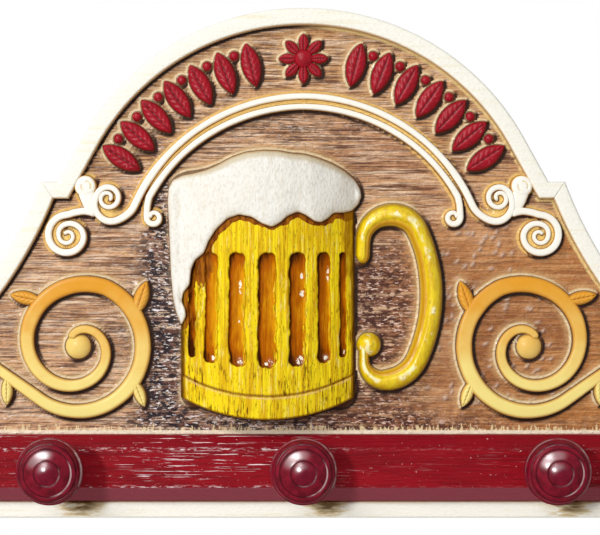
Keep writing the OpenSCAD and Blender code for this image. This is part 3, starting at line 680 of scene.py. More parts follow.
# How near each point of the profile is to a groove, where painted shade darkens it.
groove_shade = np.zeros(len(peg_line))
for r, l in grooves:
    groove_shade = np.maximum(groove_shade, np.exp(-np.sum((peg_line - turned_groove(r, l)) ** 2, 1) / 0.5))
crown = np.clip((peg_line[:, 1] - 33.5) / 3.5, 0, 1)
spin = np.linspace(0, 2 * np.pi, 97)[:-1]
share = peg_line[:, :1] / HEAD
front = peg_line[:, 1:] > 24
bearing = np.degrees(spin)
LAMP_SIDE = 117
polish = np.exp(-((bearing - LAMP_SIDE) / 44) ** 4 - ((share - 0.535) / 0.12) ** 4) * front
polish = polish + 0.9 * np.exp(-((bearing - LAMP_SIDE) / 55) ** 2 - ((share - 0.22) / 0.11) ** 2) * front


def highlight_arc(radius, width, middle, spread):
    """A painted highlight along a turn of a ring: a narrow bell curve over the radius and a wide one round the
    peg.
    """
    away = np.abs((bearing - middle + 180) % 360 - 180)
    return np.exp(-((share - radius) / width) ** 2 - (away / spread) ** 4) * front


#: Each painted highlight arc is an amount, a radius and its width as shares of the head, a bearing and its
#: spread
HIGHLIGHT_ARCS = ((1.1, 0.69, 0.02, -25, 58), (0.6, 0.37, 0.03, -45, 80), (0.45, 0.83, 0.02, 120, 70),
        (0.5, 0.97, 0.025, 60, 150), (0.6, 0.94, 0.02, 10, 40))
rim = sum(amount * highlight_arc(*arc_at) for amount, *arc_at in HIGHLIGHT_ARCS)
for side, x in (("left", -PEG_GAP), ("centre", 0.0), ("right", PEG_GAP)):
    r, l = peg_line[:, :1], peg_line[:, 1:]
    grid = place(x + r * np.cos(spin), PEG_H + r * np.sin(spin), PEG_OUT + l + 0 * spin)
    masks = {"groove": groove_shade[:, None], "crown": crown[:, None], "rim": rim, "polish": polish}
    surface("peg_turned_" + side, [(grid, masks)], lacquer, ("peg_" + side,), wrap=True)


# %% [markdown]
# ## Scroll mouldings
# Two cream bands follow the arch and end in curls; at each shoulder a volute and a bud grow out of
# the outer one. Their tops are flat and cream, and their walls are gilded. The mask "edge" runs from
# the middle of a band to its walls, so one material can paint both.

# %% Cream tops and gilded walls
gilt_cream, tree, shader = finish("Cream with gilded walls", 0.42, specular=0.3)
rub = use(tree, streaks, Scale=(160, 160, 160), Low=0.3, High=0.7)
edge = wavering(tree, mask(tree, "edge"), rub["Raw"], 0.1)
base = mix(tree, times(tree, rub["Mask"], 0.2), srgb(253, 250, 240), srgb(244, 230, 200))
base = shift(tree, base, edge, 0.86, 0.94, (240, 196, 110))
base = shift(tree, base, edge, 0.95, 0.998, (196, 130, 54))
# Painted shade: dark brown low on each band's walls, where it meets the field.
base = shift(tree, base, mask(tree, "rise"), 0.35, 0.1, (92, 50, 20))
put(shader.inputs["Base Color"], base)
bump(tree, shader, rub["Raw"], 0.0003)

# %% Lines of the mouldings and corner scrolls
MOULD_C, RELIEF = np.array([0, 138.5]), 6.0
CURL_C, EYE_C = np.array([117.0, 191.4]), np.array([89.9, 179.3])
VOLUTE_C, BUD_C, BUD_R = np.array([141.6, 168.8]), np.array([130.6, 198.3]), 6.7
#: Knots of each line are (angle, radius) about its centre
outer_arch = [(90, 113.9), (80, 113.6), (70, 113.3), (40, 113.1), (35, 112.7), (30, 112.0)]
inner_arch = [(90, 107.6), (80, 107.3), (70, 107.1), (40, 107.2), (35, 107.0), (30, 106.4)]
outer_curl = [(-163, 16.7), (-132, 14.7), (-91, 14.3), (-56, 11.4), (-20, 8.3), (0, 7.2), (45, 6.6),
              (90, 6.5), (180, 6.4), (270, 5.8), (360, 4.3), (450, 3.0), (540, 2.2), (630, 1.3)]
inner_curl = [(15, 4.2), (0, 3.9), (-90, 3.6), (-180, 3.8), (-270, 3.3), (-320, 2.4), (-380, 1.2)]
volute_turns = [(92, 12.6), (0, 10.9), (-90, 10.2), (-180, 10.2), (-270, 7.0), (-360, 4.8), (-450, 4.6),
                (-540, 3.8), (-630, 2.2), (-720, 1.2)]
volute_start = [[123.6, 181.4], [127.5, 182.9], [131.5, 183.5], [136.5, 182.8]]


def softened(line, reach):
    """The line with each point moved to the weighted mean of its neighbours."""
    return np.stack([eased(line[:, k], reach) for k in (0, 1)], -1)


def curled(parts, reach):
    """One line through several parts, evenly spaced and softened where they meet."""
    return softened(even(np.concatenate(parts), 0.6), reach)


outer_line = curled([whorl(MOULD_C, outer_arch), whorl(CURL_C, outer_curl)], 4)
inner_line = curled([whorl(MOULD_C, inner_arch), [[93.4, 187.2]], whorl(EYE_C, inner_curl)], 2)
volute_line = curled([volute_start, whorl(VOLUTE_C, volute_turns)], 3)
bud_line = even(np.array([[127.0, 182.6], [129.2, 190.0], BUD_C]), 0.5)
for line in (outer_line, inner_line):
    line[0] = [0, line[0, 1]]


def narrowing(line, marks, widths):
    """Half-widths that go evenly between marks, given as shares of the line."""
    return np.interp(np.linspace(0, 1, len(line)), marks, widths) / 2


def doubled(half):
    """The whole line from one end to the other, for a half line that starts at the crown."""
    return np.concatenate([flipped(half)[:-1], half])


print("outer moulding", len(outer_line), "points a side, inner moulding", len(inner_line))

# %% The mouldings and corner scrolls
ink = []


def inked(line, half, gilt=0):
    """Notes where a shape lies, as discs along its line, so that the field can be stained round it."""
    half = round_ends(line, np.broadcast_to(half, len(line)))
    for side in (1, -1):
        ink.append(np.column_stack([line * [side, 1], half, np.full(len(line), gilt)])[::2])


def dotted(at, radius, gilt=0):
    """Notes a round shape in the same way."""
    ink.append(np.array([[at[0], at[1], radius, gilt]]))


def stud(at, radius, tall, flat=5.0, scored=0.0):
    """A round stud: the height of a band's cross-section, spun about an axis that points at the viewer.
    Two arcs may be scored into it, half-way out."""
    rho, lon = np.cos(np.linspace(0, np.pi / 2 - 0.01, 32))[:, None], np.linspace(0, 2 * np.pi, 61)[:-1]
    rho = np.concatenate([[[1.0]], rho])
    score = np.exp(-((rho - 0.42 - 0.12 * np.cos(lon)) / 0.09) ** 2) * (np.sin(2 * lon + 0.6) > -0.35)
    out = tall * (1 - rho ** flat) ** (1 / flat) - scored * score
    out[0] = -BURY
    grid = place(at[0] + radius * rho * np.cos(lon), at[1] + radius * rho * np.sin(lon), out)
    edge = np.maximum(rho + 0 * lon, np.minimum(1.15 * score, 0.94) * (scored > 0))
    return grid, {"edge": edge, "rise": np.clip(out / tall, 0, 1)}


mouldings = (("outer", outer_line, (0, 0.4, 0.5, 0.7, 1), (3.8, 4.0, 4.8, 4.4, 2.4)),
             ("inner", inner_line, (0, 0.6, 0.75, 0.9, 1), (3.7, 3.8, 4.3, 3.8, 2.6)))
for name, half_line, marks, widths in mouldings:
    half = narrowing(half_line, marks, widths)
    inked(half_line, half, 1)
    whole, both = doubled(half_line), np.r_[half[:0:-1], half]
    surface(f"moulding_{name}", [band(whole, both, RELIEF)], gilt_cream,
            (f"{name}_arch_moulding",), wrap=True)

bud_half = np.linspace(2.6, 6.2, len(bud_line))
volute_half = narrowing(volute_line, (0, 0.5, 1), (4.6, 4.4, 2.2))
inked(volute_line, volute_half, 1)
inked(bud_line, bud_half, 1)
for side, sign in (("right", 1), ("left", -1)):
    parts = [band(volute_line * [sign, 1], volute_half, RELIEF - 0.1),
             band(bud_line * [sign, 1], bud_half, RELIEF - 0.4),
             stud(BUD_C * [sign, 1], BUD_R, RELIEF, scored=0.6)]
    dotted(BUD_C * [sign, 1], BUD_R, 1)
    surface(f"scroll_{side}", parts, gilt_cream, (f"{side}_corner_scroll",), wrap=True)

# %% [markdown]
# ## The mug
# The mug is a relief of a tankard: a round front that stands out most in the middle, with hollow flutes
# and a foot band. A height over a grid does all of it. The flutes are cut with ragged edges, and the
# mask "flute" tells the paint where amber shows instead of yellow.

# %% Dry-brushed yellow with amber flutes
yellow, tree, shader = finish("Dry-brushed mug yellow", 0.36, specular=0.05, coat_roughness=0.06)
brush = use(tree, streaks, Scale=(560, 300, 24), Low=0.42, High=0.62)
bristle = use(tree, streaks, Scale=(1000, 500, 110), Low=0.53, High=0.60)
patch = use(tree, streaks, Scale=(110, 110, 60), Low=0.40, High=0.62)
pale = use(tree, streaks, Scale=(700, 300, 70), Low=0.56, High=0.66)
amber = use(tree, streaks, Scale=(420, 300, 90))
base = mix(tree, times(tree, brush["Mask"], 0.8), srgb(250, 221, 30), srgb(216, 163, 18))
fresh = remap(tree, patch["Raw"], 0.6, 0.4, 0.0, 0.7)
base = mix(tree, times(tree, pale["Mask"], fresh), base, srgb(252, 240, 150))
specks = use(tree, streaks, Scale=(900, 500, 240), Low=0.58, High=0.66)
base = glaze(tree, base, specks["Mask"], 0.6, (134, 100, 16))
hollow, flute_tone_and_shade = mask(tree, "flute"), mask(tree, "flute_tone_and_shade")
# The amber of the flutes is darkened and lightened by painted shade and light, worked out per point below.
flute_tone_and_shade = wavering(tree, flute_tone_and_shade, amber["Raw"], 0.9)
glow = mix(tree, remap(tree, flute_tone_and_shade, 0.0, 0.5), srgb(64, 24, 0), srgb(176, 90, 0))
glow = mix(tree, remap(tree, flute_tone_and_shade, 0.5, 1.0), glow, srgb(224, 152, 10))
chip = use(tree, streaks, Scale=(520, 400, 420))
glints = times(tree, mask(tree, "painted_glint"), remap(tree, chip["Raw"], 0.38, 0.56, 0.25, 1.5))
dry = remap(tree, bristle["Raw"], 0.42, 0.56)
smeared = sums(tree, "SUBTRACT", hollow, times(tree, mask(tree, "smear"), dry))
base = mix(tree, remap(tree, smeared, 0.3, 0.5), base, glow)
rim = times(tree, remap(tree, hollow, 0.14, 0.34), remap(tree, hollow, 0.62, 0.42))
base = glaze(tree, base, rim, 0.65, (104, 58, 6))
base = mix(tree, times(tree, times(tree, bristle["Mask"], patch["Mask"]),
                      remap(tree, mask(tree, "aged"), 0.0, 0.7, 0.3, 1.0)), base, srgb(98, 58, 6))
brown = wavering(tree, mask(tree, "brown"), amber["Raw"], 0.7)
wash = mix(tree, remap(tree, amber["Raw"], 0.40, 0.62), srgb(112, 54, 8), srgb(164, 96, 18))
base = mix(tree, remap(tree, brown, 0.38, 0.58), base, wash)
# Painted shadow: a dark line just under the foam's lower edge.
base = shift(tree, base, mask(tree, "under"), 1.0, 0.4, (58, 28, 8), 0.8)
# Painted highlights: white glints in the flutes.
base = shift(tree, base, glints, 0.5, 0.75, (255, 246, 228))
# Painted highlight: a pale line just under the foot band's line.
base = glaze(tree, base, mask(tree, "seam_highlight"), 0.6, (240, 196, 158))
base = glaze(tree, base, mask(tree, "line"), 0.9, (112, 48, 26))
# Painted shade on the mug's sides: ochre and brown where the front turns back to the field.
side_shade = wavering(tree, mask(tree, "wall"), bristle["Raw"], 0.7)
base = shift(tree, base, side_shade, 0.25, 0.55, (158, 106, 10), 0.8)
base = shift(tree, base, side_shade, 0.75, 1.0, (78, 44, 6), 0.85)
put(shader.inputs["Base Color"], base)
put(shader.inputs["Coat Weight"], remap(tree, mask(tree, "drop"), 0.1, 0.4))
put(shader.inputs["Roughness"], remap(tree, hollow, 0.3, 0.7, 0.42, 0.25))
bump(tree, shader, brush["Raw"], 0.0009)

# %% [markdown]
# ### Where the foam meets the mug
# The foam hides the mug's rim, and a brown line follows its lower edge. Both pieces need that edge, so it
# comes first: a few places measured on the photograph, joined by one smooth curve through all of them.

# %% The foam's edges
MUG_X, HALF_MUG, MUG_LOW, SAG, RIM, MUG_FOOT = -21.4, 52.02, 60.0, 12.0, 184.0, 14.0
#: Each knot is (right of the mug's middle, above its rim), from the tip of the run to the right end
run_side = [(-52.2, -68.3), (-55.2, -61), (-57, -52), (-58.2, -38), (-58.8, -24), (-59.4, -8), (-60.2, 5),
            (-59.6, 13.4)]
top_side = [(-59.6, 13.4), (-57, 18.4), (-51.5, 20.8), (-44, 21.8), (-36.8, 23.4), (-29, 26.6), (-22, 30.4),
            (-13.4, 33.4), (-3, 34.6), (7, 34.2), (14.5, 32.8), (22, 32.4), (30, 30.3), (38.7, 27.1),
            (46, 23.1), (52, 18.4), (55.3, 13), (56, 8.8)]
run_inside = [(-51.2, -68.3), (-48.6, -63.5), (-49.2, -59), (-51.4, -54.5), (-50.4, -49.5), (-46.4, -44.5),
              (-45.4, -35.4), (-43, -30), (-37.4, -25.7), (-34.9, -19)]
low_side = [(-34.9, -19), (-30.4, -12), (-23.5, -5.5), (-16.6, -3.2), (-9, -4.7), (-2.8, -8.7), (3, -10.6),
            (8, -7.8), (12, -4.1), (18, -1.5), (22.8, -3.6), (28, -7.2), (31.8, -7.8), (36, -5.2), (39.2, -2),
            (45, -1.8), (50.4, -0.6), (54, 3.2), (55.9, 7.6)]

foam_outside = np.concatenate([through(run_side, 80), through(top_side, 150)[1:]]) + [MUG_X, RIM]
foam_inside = np.concatenate([through(run_inside, 80), through(low_side, 150)[1:]]) + [MUG_X, RIM]
print("foam reaches from", np.round(foam_outside.min(0), 1), "to", np.round(foam_outside.max(0), 1))

# %% The mug's front
BULGE, MUG_EDGE = 17.0, 3.0
MUG_R = (HALF_MUG ** 2 + BULGE ** 2) / (2 * BULGE)
SAG_R = (HALF_MUG ** 2 + SAG ** 2) / (2 * SAG)


def mug_out(x):
    """The round front: a circle's height over the width of the mug."""
    return MUG_EDGE + BULGE - MUG_R + np.sqrt(MUG_R ** 2 - np.clip(x, -HALF_MUG, HALF_MUG) ** 2)


def foot_h(x):
    """The curved foot line, an arc that sags in the middle."""
    return MUG_LOW + SAG_R - np.sqrt(SAG_R ** 2 - x ** 2)


#: Painted highlights (glints) on the amber of a flute: right of its middle, above its foot, half width as a
#: share, half height
GLINTS = {2: [(0.35, 47, 0.2, 5.0), (0.3, 28, 0.18, 1.8)], 3: [(-0.05, 2.8, 0.4, 1.1)],
          4: [(0.55, 53, 0.16, 3.6), (0.45, 44, 0.36, 2.6), (0.3, 4.6, 0.4, 2.4)], 5: [(0.6, 53, 0.2, 5.0)]}
FLUTE_TONE = (-0.45, 0.1, 0.1, 0.05, -0.06, -0.04, -0.1)
FLUTE_W, FLUTE_CUT = 11, 2.7
u, v = np.meshgrid(ringed(crowded(240, 1.35)), ringed(np.linspace(0, 1, 220)))
x = HALF_MUG * u
low = foot_h(x)
h = low + (RIM + 3 - low) * v
ragged = 0.55 * grain(x, h, 2.2, 6, 11) + 0.45 * grain(x, h, 1.1, 2.4, 12)
flute, flute_tone_and_shade, smear, drop, painted_glint = (np.zeros_like(x) for _ in range(5))
for k, a in enumerate(np.radians(np.arange(-60, 61, 20))):
    width = FLUTE_W * math.cos(a) ** 1.3 / 2
    top, bottom = RIM - 25, MUG_LOW + MUG_FOOT + 16 + SAG * (1 - math.cos(a))
    along = (h - bottom) / (top - bottom)
    middle = HALF_MUG * math.sin(a) + 0.5 * grain(h, h * 0 + 9 * k, 14, 1, 15)
    swell = width * (1 + 0.1 * grain(h, h * 0 + 5 * k, 9, 1, 16) + 0.1 * smoothstep((0.2 - along) / 0.2))
    beyond = np.maximum(0, np.maximum(h - (top - width), (bottom + width) - h))
    s = (x - middle) / swell
    inside = smoothstep((1.1 - np.hypot(s, beyond / width) + 0.18 * ragged) / 0.4)
    # Painted light and shade in each flute: lighter on its right side and in the middle, darker on its left
    # side and toward its top and foot, with a tone of its own.
    here = 0.62 + 0.25 * s - 0.4 * smoothstep((-s - 0.55) / 0.4) - 0.4 * smoothstep((along - 0.82) / 0.18)
    here = here - 0.3 * smoothstep((0.2 - along) / 0.16) + 0.2 * np.exp(-((along - 0.5) / 0.3) ** 2)
    here = here - 0.1 + FLUTE_TONE[k]
    from_drop = (x - middle - 0.3 * width) ** 2 + (h - bottom - 3.4) ** 2
    drop = np.maximum(drop, np.exp(-from_drop / 1.9 ** 2) * (1 < k < 6))
    # Painted highlights: a white glint at the foot of each flute, and those listed above.
    spots = [(0.25, 3.2, 0.34, 1.5), *GLINTS.get(k, [])]
    for right, up, wide, high in spots:
        shine = np.exp(-((s - right) / wide) ** 2 - ((h - bottom - up) / high) ** 2)
        painted_glint = np.maximum(painted_glint, shine * (k > 0))
    flute_tone_and_shade = np.where(inside > flute, here, flute_tone_and_shade)
    spread = smoothstep((s - 0.1) / 0.8) * smoothstep((0.85 - along) / 0.2) * (1.3 if k in (1, 2) else 0.8)
    smear = np.where(inside > flute, spread, smear)
    flute = np.maximum(flute, inside)
out = mug_out(x) - FLUTE_CUT * flute + 1.5 * drop + 0.16 * grain(x, h, 1.6, 16, 13) * (1 - flute)
band_top = low + MUG_FOOT
line = np.exp(-((h - band_top - 0.25 * ragged) / 0.65) ** 2)
patchy = np.clip(0.75 + 0.6 * grain(x, h, 7, 3, 18), 0, 1)
# Painted highlight: where the pale line under the foot band's line goes.
seam_highlight = np.exp(-((h - band_top + 1.35 - 0.2 * ragged) / 0.45) ** 2) * patchy
out = out + 1.5 * smoothstep((band_top - h) / 0.8) - 0.7 * line
roll = np.minimum(1, np.minimum((1 - np.abs(u)) / 0.035, (h - low) / 2.0))
out = out - 1.6 * (1 - np.sqrt(np.clip(1 - (1 - roll) ** 2, 0, 1)))
under = nearest(MUG_X + x, h, foam_inside)
edge_h = np.interp(x, foam_inside[80:, 0] - MUG_X, foam_inside[80:, 1])
deep = (2.4 + 1.5 * smoothstep((edge_h - RIM + 9) / 5) + 1.6 * smoothstep((-18 - x) / 10)
        + 2.0 * smoothstep((x - 43) / 4))
brown = smoothstep((deep + 0.7 * ragged - under) / 1.2)
left_side = 0.62 * smoothstep((-0.58 - u + 0.05 * ragged) / 0.1) * smoothstep((h - 134 + 6 * ragged) / 10)
brown = np.maximum(brown, left_side)
aged = np.clip(0.9 * smoothstep((106 - h) / 14) * (0.6 + 0.4 * grain(x, h, 11, 9, 17))
               + 0.6 * smoothstep((-u - 0.5) / 0.4) + 0.5 * smoothstep((u - 0.8) / 0.1)
               + 0.3 * grain(x, h, 9, 22, 14), 0, 1)
# Painted shade on the mug's right side, its left edge and along its foot.
right_side = 0.5 * smoothstep((u - 0.86 + 0.02 * ragged) / 0.03) * (0.5 + 0.5 * smoothstep((h - 138) / 12))
wall = np.maximum(right_side, smoothstep((u - 0.935) / 0.05))
wall = np.maximum(wall, smoothstep((-0.925 - u) / 0.05) * smoothstep((150 - h) / 8))
wall = np.maximum(wall, 0.7 * smoothstep((2.4 - (h - low)) / 2.4))
sink_rim(out)
masks = {"flute": flute, "flute_tone_and_shade": flute_tone_and_shade, "smear": smear, "drop": drop, "painted_glint": painted_glint, "line": line,
         "seam_highlight": seam_highlight, "aged": aged, "wall": wall, "brown": brown, "under": under}
surface("mug_front", [(place(MUG_X + x, h, out), masks)], yellow, ("mug_body",))

# %% [markdown]
# ## Foam
# The foam is one soft mass with a scalloped lower edge and a long run down the left side. Sculpting would
# give it too, but here each row of the grid goes straight from the outer edge line to the inner one. Its
# height swells over the mug's front and rolls under at both edges, like dough.

# %% Off-white foam
foam_white, tree, shader = finish("Foam white", 0.55, specular=0.25)
soft = use(tree, streaks, Scale=(90, 90, 45), Low=0.35, High=0.7)
speck = use(tree, streaks, Scale=(700, 500, 380), Low=0.50, High=0.66)
run = use(tree, streaks, Scale=(420, 420, 60), Low=0.5, High=0.72)
base = mix(tree, times(tree, soft["Mask"], 0.35), srgb(245, 242, 234), srgb(232, 225, 208))
base = glaze(tree, base, speck["Mask"], 0.4, (212, 200, 178))
base = glaze(tree, base, run["Mask"], 0.25, (214, 200, 172))
# Painted shade: beige and brown toward the foam's outer shoulder and along its edges, where it rolls under.
base = shift(tree, base, mask(tree, "shoulder"), 0.1, 0.6, (208, 192, 160), 0.85)
base = shift(tree, base, mask(tree, "shoulder"), 0.7, 1.0, (176, 140, 92), 0.8)
base = shift(tree, base, mask(tree, "edge"), 0.5, 0.9, (206, 172, 122), 0.7)
base = shift(tree, base, mask(tree, "edge"), 0.86, 1.0, (92, 56, 26), 0.85)
put(shader.inputs["Base Color"], base)
bump(tree, shader, speck["Raw"], 0.0006)

# %% The foam's surface
v = ringed((1 - np.cos(np.linspace(0, np.pi, 90))) / 2)[None, :]
x = foam_outside[:, :1] * (1 - v) + foam_inside[:, :1] * v
h = foam_outside[:, 1:] * (1 - v) + foam_inside[:, 1:] * v
x, h, v = ([np.concatenate([g[:1], g, g[-1:]]) for g in (x, h, np.broadcast_to(v, x.shape))])
across = np.hypot(*(foam_outside - foam_inside).T)
across = np.r_[across[0], across, across[-1]][:, None]
to_outside, to_inside = v * across, (1 - v) * across
to_edge = np.minimum(to_outside, to_inside)
roll = np.sqrt(np.clip(1 - (1 - np.clip(to_edge / 6.5, 0, 1)) ** 2, 0, 1))
lumps = 0.9 * grain(x, h, 24, 20, 21) + 0.4 * grain(x, h, 8, 9, 22) + 0.10 * grain(x, h, 1.3, 1.9, 23)
out = mug_out(x - MUG_X) + 5.0 * (0.12 + 0.88 * roll) + (lumps - 1.3) * roll
over = smoothstep((np.abs(x - MUG_X) - HALF_MUG + 2) / 6)
out = out * (1 - 0.35 * over * (1 - roll))
edge = 1 - np.clip(to_edge / 3.0, 0, 1)
# Where painted shade darkens the foam's outer shoulder.
shoulder = (1 - np.clip(to_outside / 6.0, 0, 1)) * smoothstep((h - RIM - 12) / 14)
edge[:, 1] = 0.55
shoulder[:, :2] = 0.3
sink_rim(out)
masks = {"edge": edge, "shoulder": shoulder}
surface("mug_foam_soft", [(place(x, h, out), masks)], foam_white, ("mug_foam",))
for rim_line, inset in ((foam_outside, 4.0), (foam_inside, 0.0)):
    drawn_in = rim_line * (1 - inset / 60) + [MUG_X * inset / 60, RIM * inset / 60]
    ink.append(np.column_stack([drawn_in, np.full(len(rim_line), inset), 0 * rim_line[:, 0]]))
side_h = np.arange(74, 178, 0.7)
for edge_x in (MUG_X - HALF_MUG + 8, MUG_X + HALF_MUG - 8):
    ink.append(np.column_stack([edge_x + 0 * side_h, side_h, 8 + 0 * side_h, 0 * side_h]))
base_x = np.arange(-HALF_MUG + 8, HALF_MUG - 7, 0.7)
ink.append(np.column_stack([MUG_X + base_x, foot_h(base_x) + 8, 8 + 0 * base_x, 0 * base_x]))

# %% [markdown]
# ## The handle
# The handle is a half-round bar on a chain of arcs. It is thick at the back, narrows to both ends and
# finishes in a round lobe at the bottom. Its cross-section is a flattened half ellipse, carried along the
# line. The mask "lean" says which way a point faces, so that painted shade and painted highlights can
# darken and lighten the two sides.

# %% Gloss yellow for the handle
gloss_yellow, tree, shader = finish("Handle gloss yellow", 0.3, specular=0.25, coat=0.35, coat_roughness=0.16)
brush = use(tree, streaks, Scale=(300, 300, 90), Low=0.4, High=0.66)
highlight_streaks = use(tree, streaks, Scale=(120, 120, 80), Low=0.53, High=0.62)
dabs = use(tree, streaks, Scale=(500, 500, 300), Low=0.60, High=0.68)
edge, lean = mask(tree, "edge"), mask(tree, "lean")
base = mix(tree, times(tree, brush["Mask"], 0.7), srgb(240, 210, 16), srgb(214, 164, 14))
# Painted highlight: pale streaks along the bar's ridge.
ridge_highlight = times(tree, remap(tree, lean, -0.55, -0.2), remap(tree, lean, 0.25, -0.05))
base = mix(tree, times(tree, highlight_streaks["Mask"], times(tree, ridge_highlight, 0.9)), base, srgb(254, 248, 204))
base = glaze(tree, base, dabs["Mask"], 0.45, (150, 106, 10))
# Painted shade and light by which way the bar faces: ochre on the inner side with a paler line near it, olive
# on the outer side, and dark brown at its edges where it meets the field.
base = shift(tree, base, lean, 0.35, 0.6, (204, 140, 8), 0.8)
base = shift(tree, base, lean, 0.78, 0.86, (236, 196, 30), 0.6)
base = shift(tree, base, lean, -0.55, -0.95, (160, 122, 4), 0.8)
base = shift(tree, base, edge, 0.955, 1.0, (76, 40, 10))
put(shader.inputs["Base Color"], base)
bump(tree, shader, brush["Raw"], 0.0008)

# %% The handle's bar and ball
HANDLE_STEPS = [(6, 48), (8.6, 0), (17, -153), (92, -50), (22, -65), (12, -90), (8, 0)]
handle_line = even(walk((33.2, 153.0), 40, HANDLE_STEPS), 0.9)
t = np.linspace(0, 1, len(handle_line))
handle_half = np.interp(t, [0, 0.06, 0.14, 0.26, 0.72, 0.84, 0.9, 0.95, 1],
                        [4.5, 4.3, 5.0, 6.6, 6.8, 6.5, 5.2, 3.4, 3.0])
handle_half = handle_half * (1 + 0.03 * grain(t * 200, t * 0, 17, 9, 32))
tall = np.interp(t, [0, 0.1, 0.26, 0.75, 1], [8.0, 8.6, 11.6, 11.6, 8.4])
a = np.linspace(np.pi, 0, 29)
n = sideways(handle_line)
inward = 1.1 * np.exp(-((t - 0.2) / 0.08) ** 2)
handle_half = handle_half + inward
shrunk = round_ends(handle_line, handle_half)
s = np.r_[-1, np.cos(a), 1]
across = shrunk[:, None] * s - inward[:, None]
up = np.sqrt(1 - s ** 2) ** 0.75 - 0.10 * np.exp(-((s + 0.45) / 0.14) ** 2)
out = (tall * np.sqrt(shrunk / handle_half))[:, None] * up
out = out + 0.22 * grain(t[:, None] * 200, s * 9 + 0 * out, 10, 4, 31) * np.clip(out, 0, 1) - 0.1
out[:, [0, -1]] = -BURY
bar = place(handle_line[:, :1] + n[:, :1] * across, handle_line[:, 1:] + n[:, 1:] * across, out)
grids = [(bar, {"edge": np.abs(s) + 0 * out, "lean": 0 * out - s})]
ball_c = np.array([39.1, 103.4])
ball, masks = stud(ball_c, 7.4, 9.0, flat=2.0)
grids.append((ball, {"edge": masks["edge"], "lean": -0.3 + 0 * masks["edge"]}))
surface("mug_handle_bar", grids, gloss_yellow, ("mug_handle",), wrap=True)
ink.append(np.column_stack([handle_line - n * inward[:, None], shrunk, 0 * shrunk]))
dotted(ball_c, 7.4)

# %% [markdown]
# ## Leaves, beads and rosette along the arch
# A ring of pointed leaves with beads between them fills the band under the border, and a rosette marks
# the crown. One leaf is a small grid: two arcs for its outline, a domed back, a cut along its middle and
# fine side veins. Turning and shifting that one grid gives the whole ring.

# %% Crimson relief paint
leaf_red, tree, shader = finish("Crimson relief paint", 0.34, specular=0.22)
touch = use(tree, streaks, Scale=(240, 240, 240), Low=0.4, High=0.7)
chip = use(tree, streaks, Scale=(420, 420, 420), Low=0.66, High=0.74)
base = mix(tree, times(tree, touch["Mask"], 0.5), srgb(164, 10, 32), srgb(118, 4, 20))
base = glaze(tree, base, chip["Mask"], 0.6, (226, 150, 140))
base = shift(tree, base, mask(tree, "vein"), 0.3, 1.0, (64, 4, 12), 0.75)
base = shift(tree, base, mask(tree, "edge"), 0.82, 1.0, (92, 34, 22))
put(shader.inputs["Base Color"], base)
bump(tree, shader, touch["Raw"], 0.0004)

# %% One leaf, many leaves
def leaf(length, width, tall):
    """A leaf from the origin along +X: half-width of two arcs, height domed across, veins cut in."""
    s, t = np.meshgrid(ringed(np.linspace(0.002, 0.998, 34)), ringed(crowded(23, 1.4)), indexing="ij")
    r = (length ** 2 + width ** 2) / (4 * width)
    half = np.sqrt(r ** 2 - (length * (s - 0.5)) ** 2) - r + width / 2
    vein = np.exp(-(t / 0.10) ** 2) * smoothstep((0.97 - s) / 0.1)
    ribs = 0.5 + 0.5 * np.cos(2 * np.pi * (7 * s - 1.6 * np.abs(t)))
    dome = (1 - np.abs(t) ** 3) ** 0.5 * np.clip(half / (width * 0.28), 0, 1) ** 0.5
    out = tall * (0.25 + 0.75 * dome) - 0.9 * vein - 0.45 * ribs ** 3 * (np.abs(t) < 0.9) * dome
    sink_rim(out)
    return np.stack([length * s, half * t, out], -1), {"vein": np.maximum(vein, 0.55 * ribs ** 4 * dome),
                                                      "edge": np.abs(t)}


def laid(shape, at, heading):
    """A flat shape turned to a heading, in degrees, and set down at a place of the drawing."""
    grid, masks = shape
    c, s = math.cos(math.radians(heading)), math.sin(math.radians(heading))
    x = at[0] + c * grid[..., 0] - s * grid[..., 1]
    h = at[1] + s * grid[..., 0] + c * grid[..., 1]
    return place(x, h, grid[..., 2]), masks


def leaf_ink(at, heading, length, width):
    """Discs along a leaf's middle, for the shading of the field."""
    s = np.linspace(0.04, 0.96, 14)
    d = toward(heading)
    ink.append(np.column_stack([at + length * s[:, None] * d, width / 2 * (1 - (2 * s - 1) ** 2), 0 * s]))


def button(at, radius, tall):
    """A domed button: a quarter circle spun about an axis that points at the viewer."""
    lat, lon = np.linspace(-0.2, np.pi / 2 - 0.01, 12)[:, None], np.linspace(0, 2 * np.pi, 33)[:-1]
    wide = radius * np.cos(lat)
    grid = place(at[0] + wide * np.cos(lon), at[1] + wide * np.sin(lon), tall * np.sin(lat) + 0 * lon)
    dotted(at, radius)
    return grid, {"vein": 0 * lat + 0 * lon, "edge": np.cos(lat) ** 6 + 0 * lon}


LEAF_C, RING, ORNAMENT = np.array([0, 145.0]), 130.0, 5.0
angles = np.array([side * (14 + 7.2 * i) for side in (-1, 1) for i in range(7)])
leaves = []
for a in angles:
    out_dir = np.array([math.sin(math.radians(a)), math.cos(math.radians(a))])
    at = LEAF_C + (RING - 13.5) * out_dir
    leaves.append(laid(leaf(27, 12, ORNAMENT), at, 90 - a))
    leaf_ink(at, 90 - a, 27, 12)
surface("crest_leaf_ring", leaves, leaf_red, ("crest_leaves",))

beads = []
for a in np.radians([side * (14 + 7.2 * (i + 0.5)) for side in (-1, 1) for i in range(6)]):
    beads.append(button(LEAF_C + (RING + 8.1) * np.array([math.sin(a), math.cos(a)]), 3.2, 3.2))
surface("crest_bead_ring", beads, leaf_red, ("crest_beads",), wrap=True)

